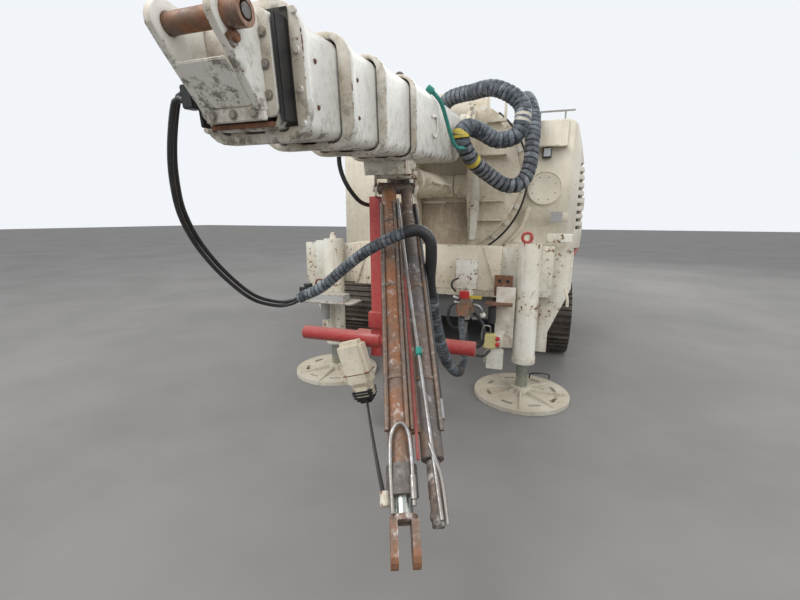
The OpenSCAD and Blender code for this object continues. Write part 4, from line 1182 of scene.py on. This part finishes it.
HOOD_PLACE, HOOD_TILT = (-0.315, -0.928, 0.665), math.radians(-17)
# Height and half-width of each turn of tape round the foot of the hood
HOOD_TAPE = ((-372, 83), (-394, 82), (-418, 78), (-440, 66), (-460, 48))


class RIG_OT_hood(bpy.types.Operator):
    """Adds the pale hood that hangs at the cross tube, with the tape round its foot"""
    bl_idname = "rig.hood"
    bl_label = "Cable hood"

    def execute(self, context):
        place = DATUM @ Matrix.Translation(HOOD_PLACE) @ Matrix.Rotation(HOOD_TILT, 4, "Y")
        hood = Kit(place).box((-105, -130, -330), (105, 0, 20)).box((-80, -118, -440), (80, -12, -300))
        hood.done("hood", "cream", "boom", 30)
        Kit(place).box((-107, -132, -232), (107, 2, -226)).done("hood_seam", "orange_rust", "boom", 1)
        tape = Kit(place)
        for z, half in HOOD_TAPE:
            tape.box((-half, -half * 0.75 - 65, z - 8), (half, half * 0.75 - 65, z + 8))
        tape.done("hood_tape", "rubber", "boom", 6)
        return {"FINISHED"}


class RIG_OT_tray(bpy.types.Operator):
    """Adds the block and the handle on the tool tray"""
    bl_idname = "rig.tray"
    bl_label = "Tool tray"

    def execute(self, context):
        block = Kit().box((-1190, -270, 880), (-1050, -165, 930))
        block.rod((-1120, -215, 930), (-1120, -215, 962), 42).done("tray_block", "rubber", "root", 4)
        Kit().pipe([(-1040, -210, 885), (-1035, -210, 980), (-1010, -205, 1005), (-950, -200, 1000)], 9).done(
            "tray_handle", "orange_rust", "root", 0)
        return {"FINISHED"}


# The black hoses at the valves, with the radius of each
VALVE_HOSES = (
    ([(380, -170, 880), (300, -200, 840), (280, -220, 740), (320, -210, 650), (390, -200, 640)], 13),
    ([(500, -170, 780), (590, -230, 700), (600, -250, 560), (540, -240, 490), (470, -210, 520),
      (440, -190, 620)], 14),
    ([(420, -180, 620), (430, -220, 520), (500, -250, 440), (600, -260, 420), (660, -230, 470)], 10),
    ([(330, -160, 960), (300, -190, 1010), (310, -190, 1060), (350, -150, 1080)], 9),
)


class RIG_OT_valves(bpy.types.Operator):
    """Adds the body, knob, fittings and hoses of the valves and the rusty ledge beside them"""
    bl_idname = "rig.valves"
    bl_label = "Valves"

    def execute(self, context):
        valves = Kit().rod((413, -200, 760), (413, -200, 860), 58).rod((413, -200, 860), (413, -200, 915), 38)
        valves.box((350, -215, 790), (505, -145, 850)).rod((455, -210, 840), (455, -210, 900), 30)
        valves.done("valve_body", "valve_rust", "root", 3)
        Kit().rod((413, -200, 915), (413, -200, 975), 44).done("valve_cap", "button", "root", 4)
        chrome = Kit().rod((320, -180, 915), (375, -205, 905), 19).rod((330, -190, 870), (380, -205, 870), 15)
        chrome.pipe([(500, -200, 860), (545, -205, 850), (575, -195, 800), (555, -190, 745),
                     (490, -180, 730)], 14)
        chrome.rod((413, -205, 615), (413, -205, 700), 36, 44).done("chrome_fittings", "pipe", "root", 1)
        Kit().rod((572, -197, 790), (588, -190, 760), 24).done("valve_white_cap", "jack_cream", "root", 4)
        loops = Kit()
        for points, radius in VALVE_HOSES:
            loops.pipe(points, radius)
        loops.rod((655, -150, 700), (655, -150, 840), 34).done("valve_hoses", "rubber", "root", 0)
        Kit().box((450, -172, 905), (560, -140, 930)).done("valve_strip", "tape", "root", 3)
        ledge = Kit().box((593, -215, 866), (823, -62, 878)).box((657, -75, 927), (811, -61, 1112))
        ledge.done("valve_ledge", "orange_rust", "root", 2)
        ports = Kit()
        for x in (700, 768):
            for z in (975, 1060):
                ports.rod((x, -70, z), (x, -80, z), 16)
        ports.done("ledge_ports", "rubber", "root", 1)
        return {"FINISHED"}


class RIG_OT_switches(bpy.types.Operator):
    """Adds the boxes with the stop buttons and their cable"""
    bl_idname = "rig.switches"
    bl_label = "Stop switches"

    def execute(self, context):
        Kit().box((602, -262, 492), (706, -192, 622)).done("stop_box", "yellow", "root", 10)
        Kit().box((628, -225, 300), (772, -192, 484)).done("lower_box", "jack_cream", "root", 6)
        buttons = Kit()
        for z in (532, 582):
            buttons.rod((700, -235, z), (734, -240, z), 19)
        buttons.done("stop_buttons", "button", "root", 3)
        cable = [(655, -230, 620), (650, -250, 690), (600, -260, 690), (585, -255, 600), (600, -240, 520)]
        Kit().pipe(cable, 7).done("stop_cable", "pipe", "root", 0)
        return {"FINISHED"}


class RIG_OT_jacks(bpy.types.Operator):
    """Adds the pad's handle and the block, lug and lever of the right jack"""
    bl_idname = "rig.jacks"
    bl_label = "Jacks"

    def execute(self, context):
        handle = [(1010, 190, 95), (1020, 160, 150), (1100, 150, 168), (1180, 190, 150), (1190, 230, 95)]
        Kit().pipe(handle, 7).done("pad_handle", "rubber", "jack_right", 0)
        Kit().box((1060, -20, 1400), (1262, 100, 1470)).done("jack_block", "jack_cream", "root", 5)
        lug = Kit().box((882, -84, 1370), (930, -66, 1405))
        turns = [a / 8 * math.tau for a in range(9)]
        lug.pipe([(905 + 40 * math.cos(a), -75, 1440 + 40 * math.sin(a)) for a in turns], 13)
        lug.done("jack_lug", "red", "root", 0)
        Kit().pipe([(1240, 0, 1010), (1262, -20, 930), (1268, -10, 860)], 12).done(
            "jack_lever", "cream", "root", 0)
        return {"FINISHED"}


# The axes of the arm's two tubes, in the arm's frame
THICK_X, SLIM_X = -50, 74
# The bent steel pipes along the arm
ARM_PIPES = (
    [(5, -230, 66), (30, -1000, 68), (60, -1700, 66), (78, -2110, 58)],
    [(-88, -2080, 38), (-92, -1900, 50), (-84, -1800, 60), (THICK_X, -1765, 70), (-20, -1800, 64),
     (-12, -1900, 56), (-12, -2060, 48)],
    [(58, -1850, 66), (72, -1900, 66), (92, -1980, 58), (98, -2120, 40)],
)


class RIG_OT_arm(bpy.types.Operator):
    """Adds the steel pipes, bands, clamps and side hose of the hanging arm"""
    bl_idname = "rig.arm"
    bl_label = "Hanging arm"

    def execute(self, context):
        pipes = Kit(ARM)
        for points in ARM_PIPES:
            pipes.pipe(points, 8)
        pipes.rod((-12, -1960, 54), (-12, -2040, 52), 13).rod((128, -1640, 10), (126, -1730, 12), 15)
        pipes.done("arm_steel_pipes", "pipe", "arm", 0)
        tail = Kit(ARM).rod((SLIM_X, -1780, 0), (SLIM_X, -1890, 0), 45, None, 28)
        tail.rod((SLIM_X, -1890, 0), (SLIM_X, -2030, 0), 27, None, 24)
        tail.box((52, -2120, -26), (96, -2020, 26)).rod((46, -2085, 0), (102, -2085, 0), 17)
        tail.done("slim_tail", "slim_rust", "arm", 3)
        Kit(ARM).box((10, -1890, 6), (24, -900, 16)).done("arm_red_strip", "red", "arm", 1)
        end = Kit(ARM).rod((-112, -2000, 10), (-112, -2050, 8), 20, None, 14)
        end.box((-112, -2035, -10), (-60, -2010, 10)).done("cable_clamp", "jack_cream", "arm", 2)
        Kit(ARM).box((36, -1450, 54), (64, -1410, 82)).done("pipe_clamp", "strap", "arm", 3)
        bands = Kit(ARM)
        for y in (-420, -980, -1540):
            for x, radius in ((THICK_X, 54), (SLIM_X, 44)):
                bands.rod((x, y - 9, 0), (x, y + 9, 0), radius, None, 32)
        bands.done("arm_bands", "dull_pipe", "arm", 1)
        Kit(ARM).pipe([(118, -240, 30), (126, -600, 22), (128, -1200, 14), (128, -1640, 10)], 12).done(
            "arm_side_hose", "rubber", "arm", 0)
        return {"FINISHED"}


class RIG_PT_panel(bpy.types.Panel):
    """Lists the steps and the properties in the sidebar"""
    bl_label = "Piling rig"
    bl_idname = "RIG_PT_panel"
    bl_space_type = "VIEW_3D"
    bl_region_type = "UI"
    bl_category = "Rig"

    def draw(self, context):
        for operator in STEPS:
            self.layout.operator(operator.bl_idname)
        for group in (context.scene.rig_paint, context.scene.rig_sizes, context.scene.rig_stage):
            box = self.layout.box()
            for name in group.__annotations__:
                box.prop(group, name)


STEPS = [RIG_OT_camera, RIG_OT_finishes, RIG_OT_edges, RIG_OT_tracks, RIG_OT_ring, RIG_OT_disc, RIG_OT_bolts,
         RIG_OT_hoses, RIG_OT_head, RIG_OT_hood, RIG_OT_tray, RIG_OT_valves, RIG_OT_switches, RIG_OT_jacks,
         RIG_OT_arm, RIG_OT_stage]
CLASSES = [RigPaint, RigSizes, RigStage, *STEPS, RIG_PT_panel]


def register():
    for kind in CLASSES:
        bpy.utils.register_class(kind)
    bpy.types.Scene.rig_paint = PointerProperty(type=RigPaint)
    bpy.types.Scene.rig_sizes = PointerProperty(type=RigSizes)
    bpy.types.Scene.rig_stage = PointerProperty(type=RigStage)


def unregister():
    del bpy.types.Scene.rig_paint, bpy.types.Scene.rig_sizes, bpy.types.Scene.rig_stage
    for kind in reversed(CLASSES):
        bpy.utils.unregister_class(kind)


def main():
    register()
    for step in STEPS:
        group, name = step.bl_idname.split(".")
        getattr(getattr(bpy.ops, group), name)()


if __name__ == "__main__":
    main()
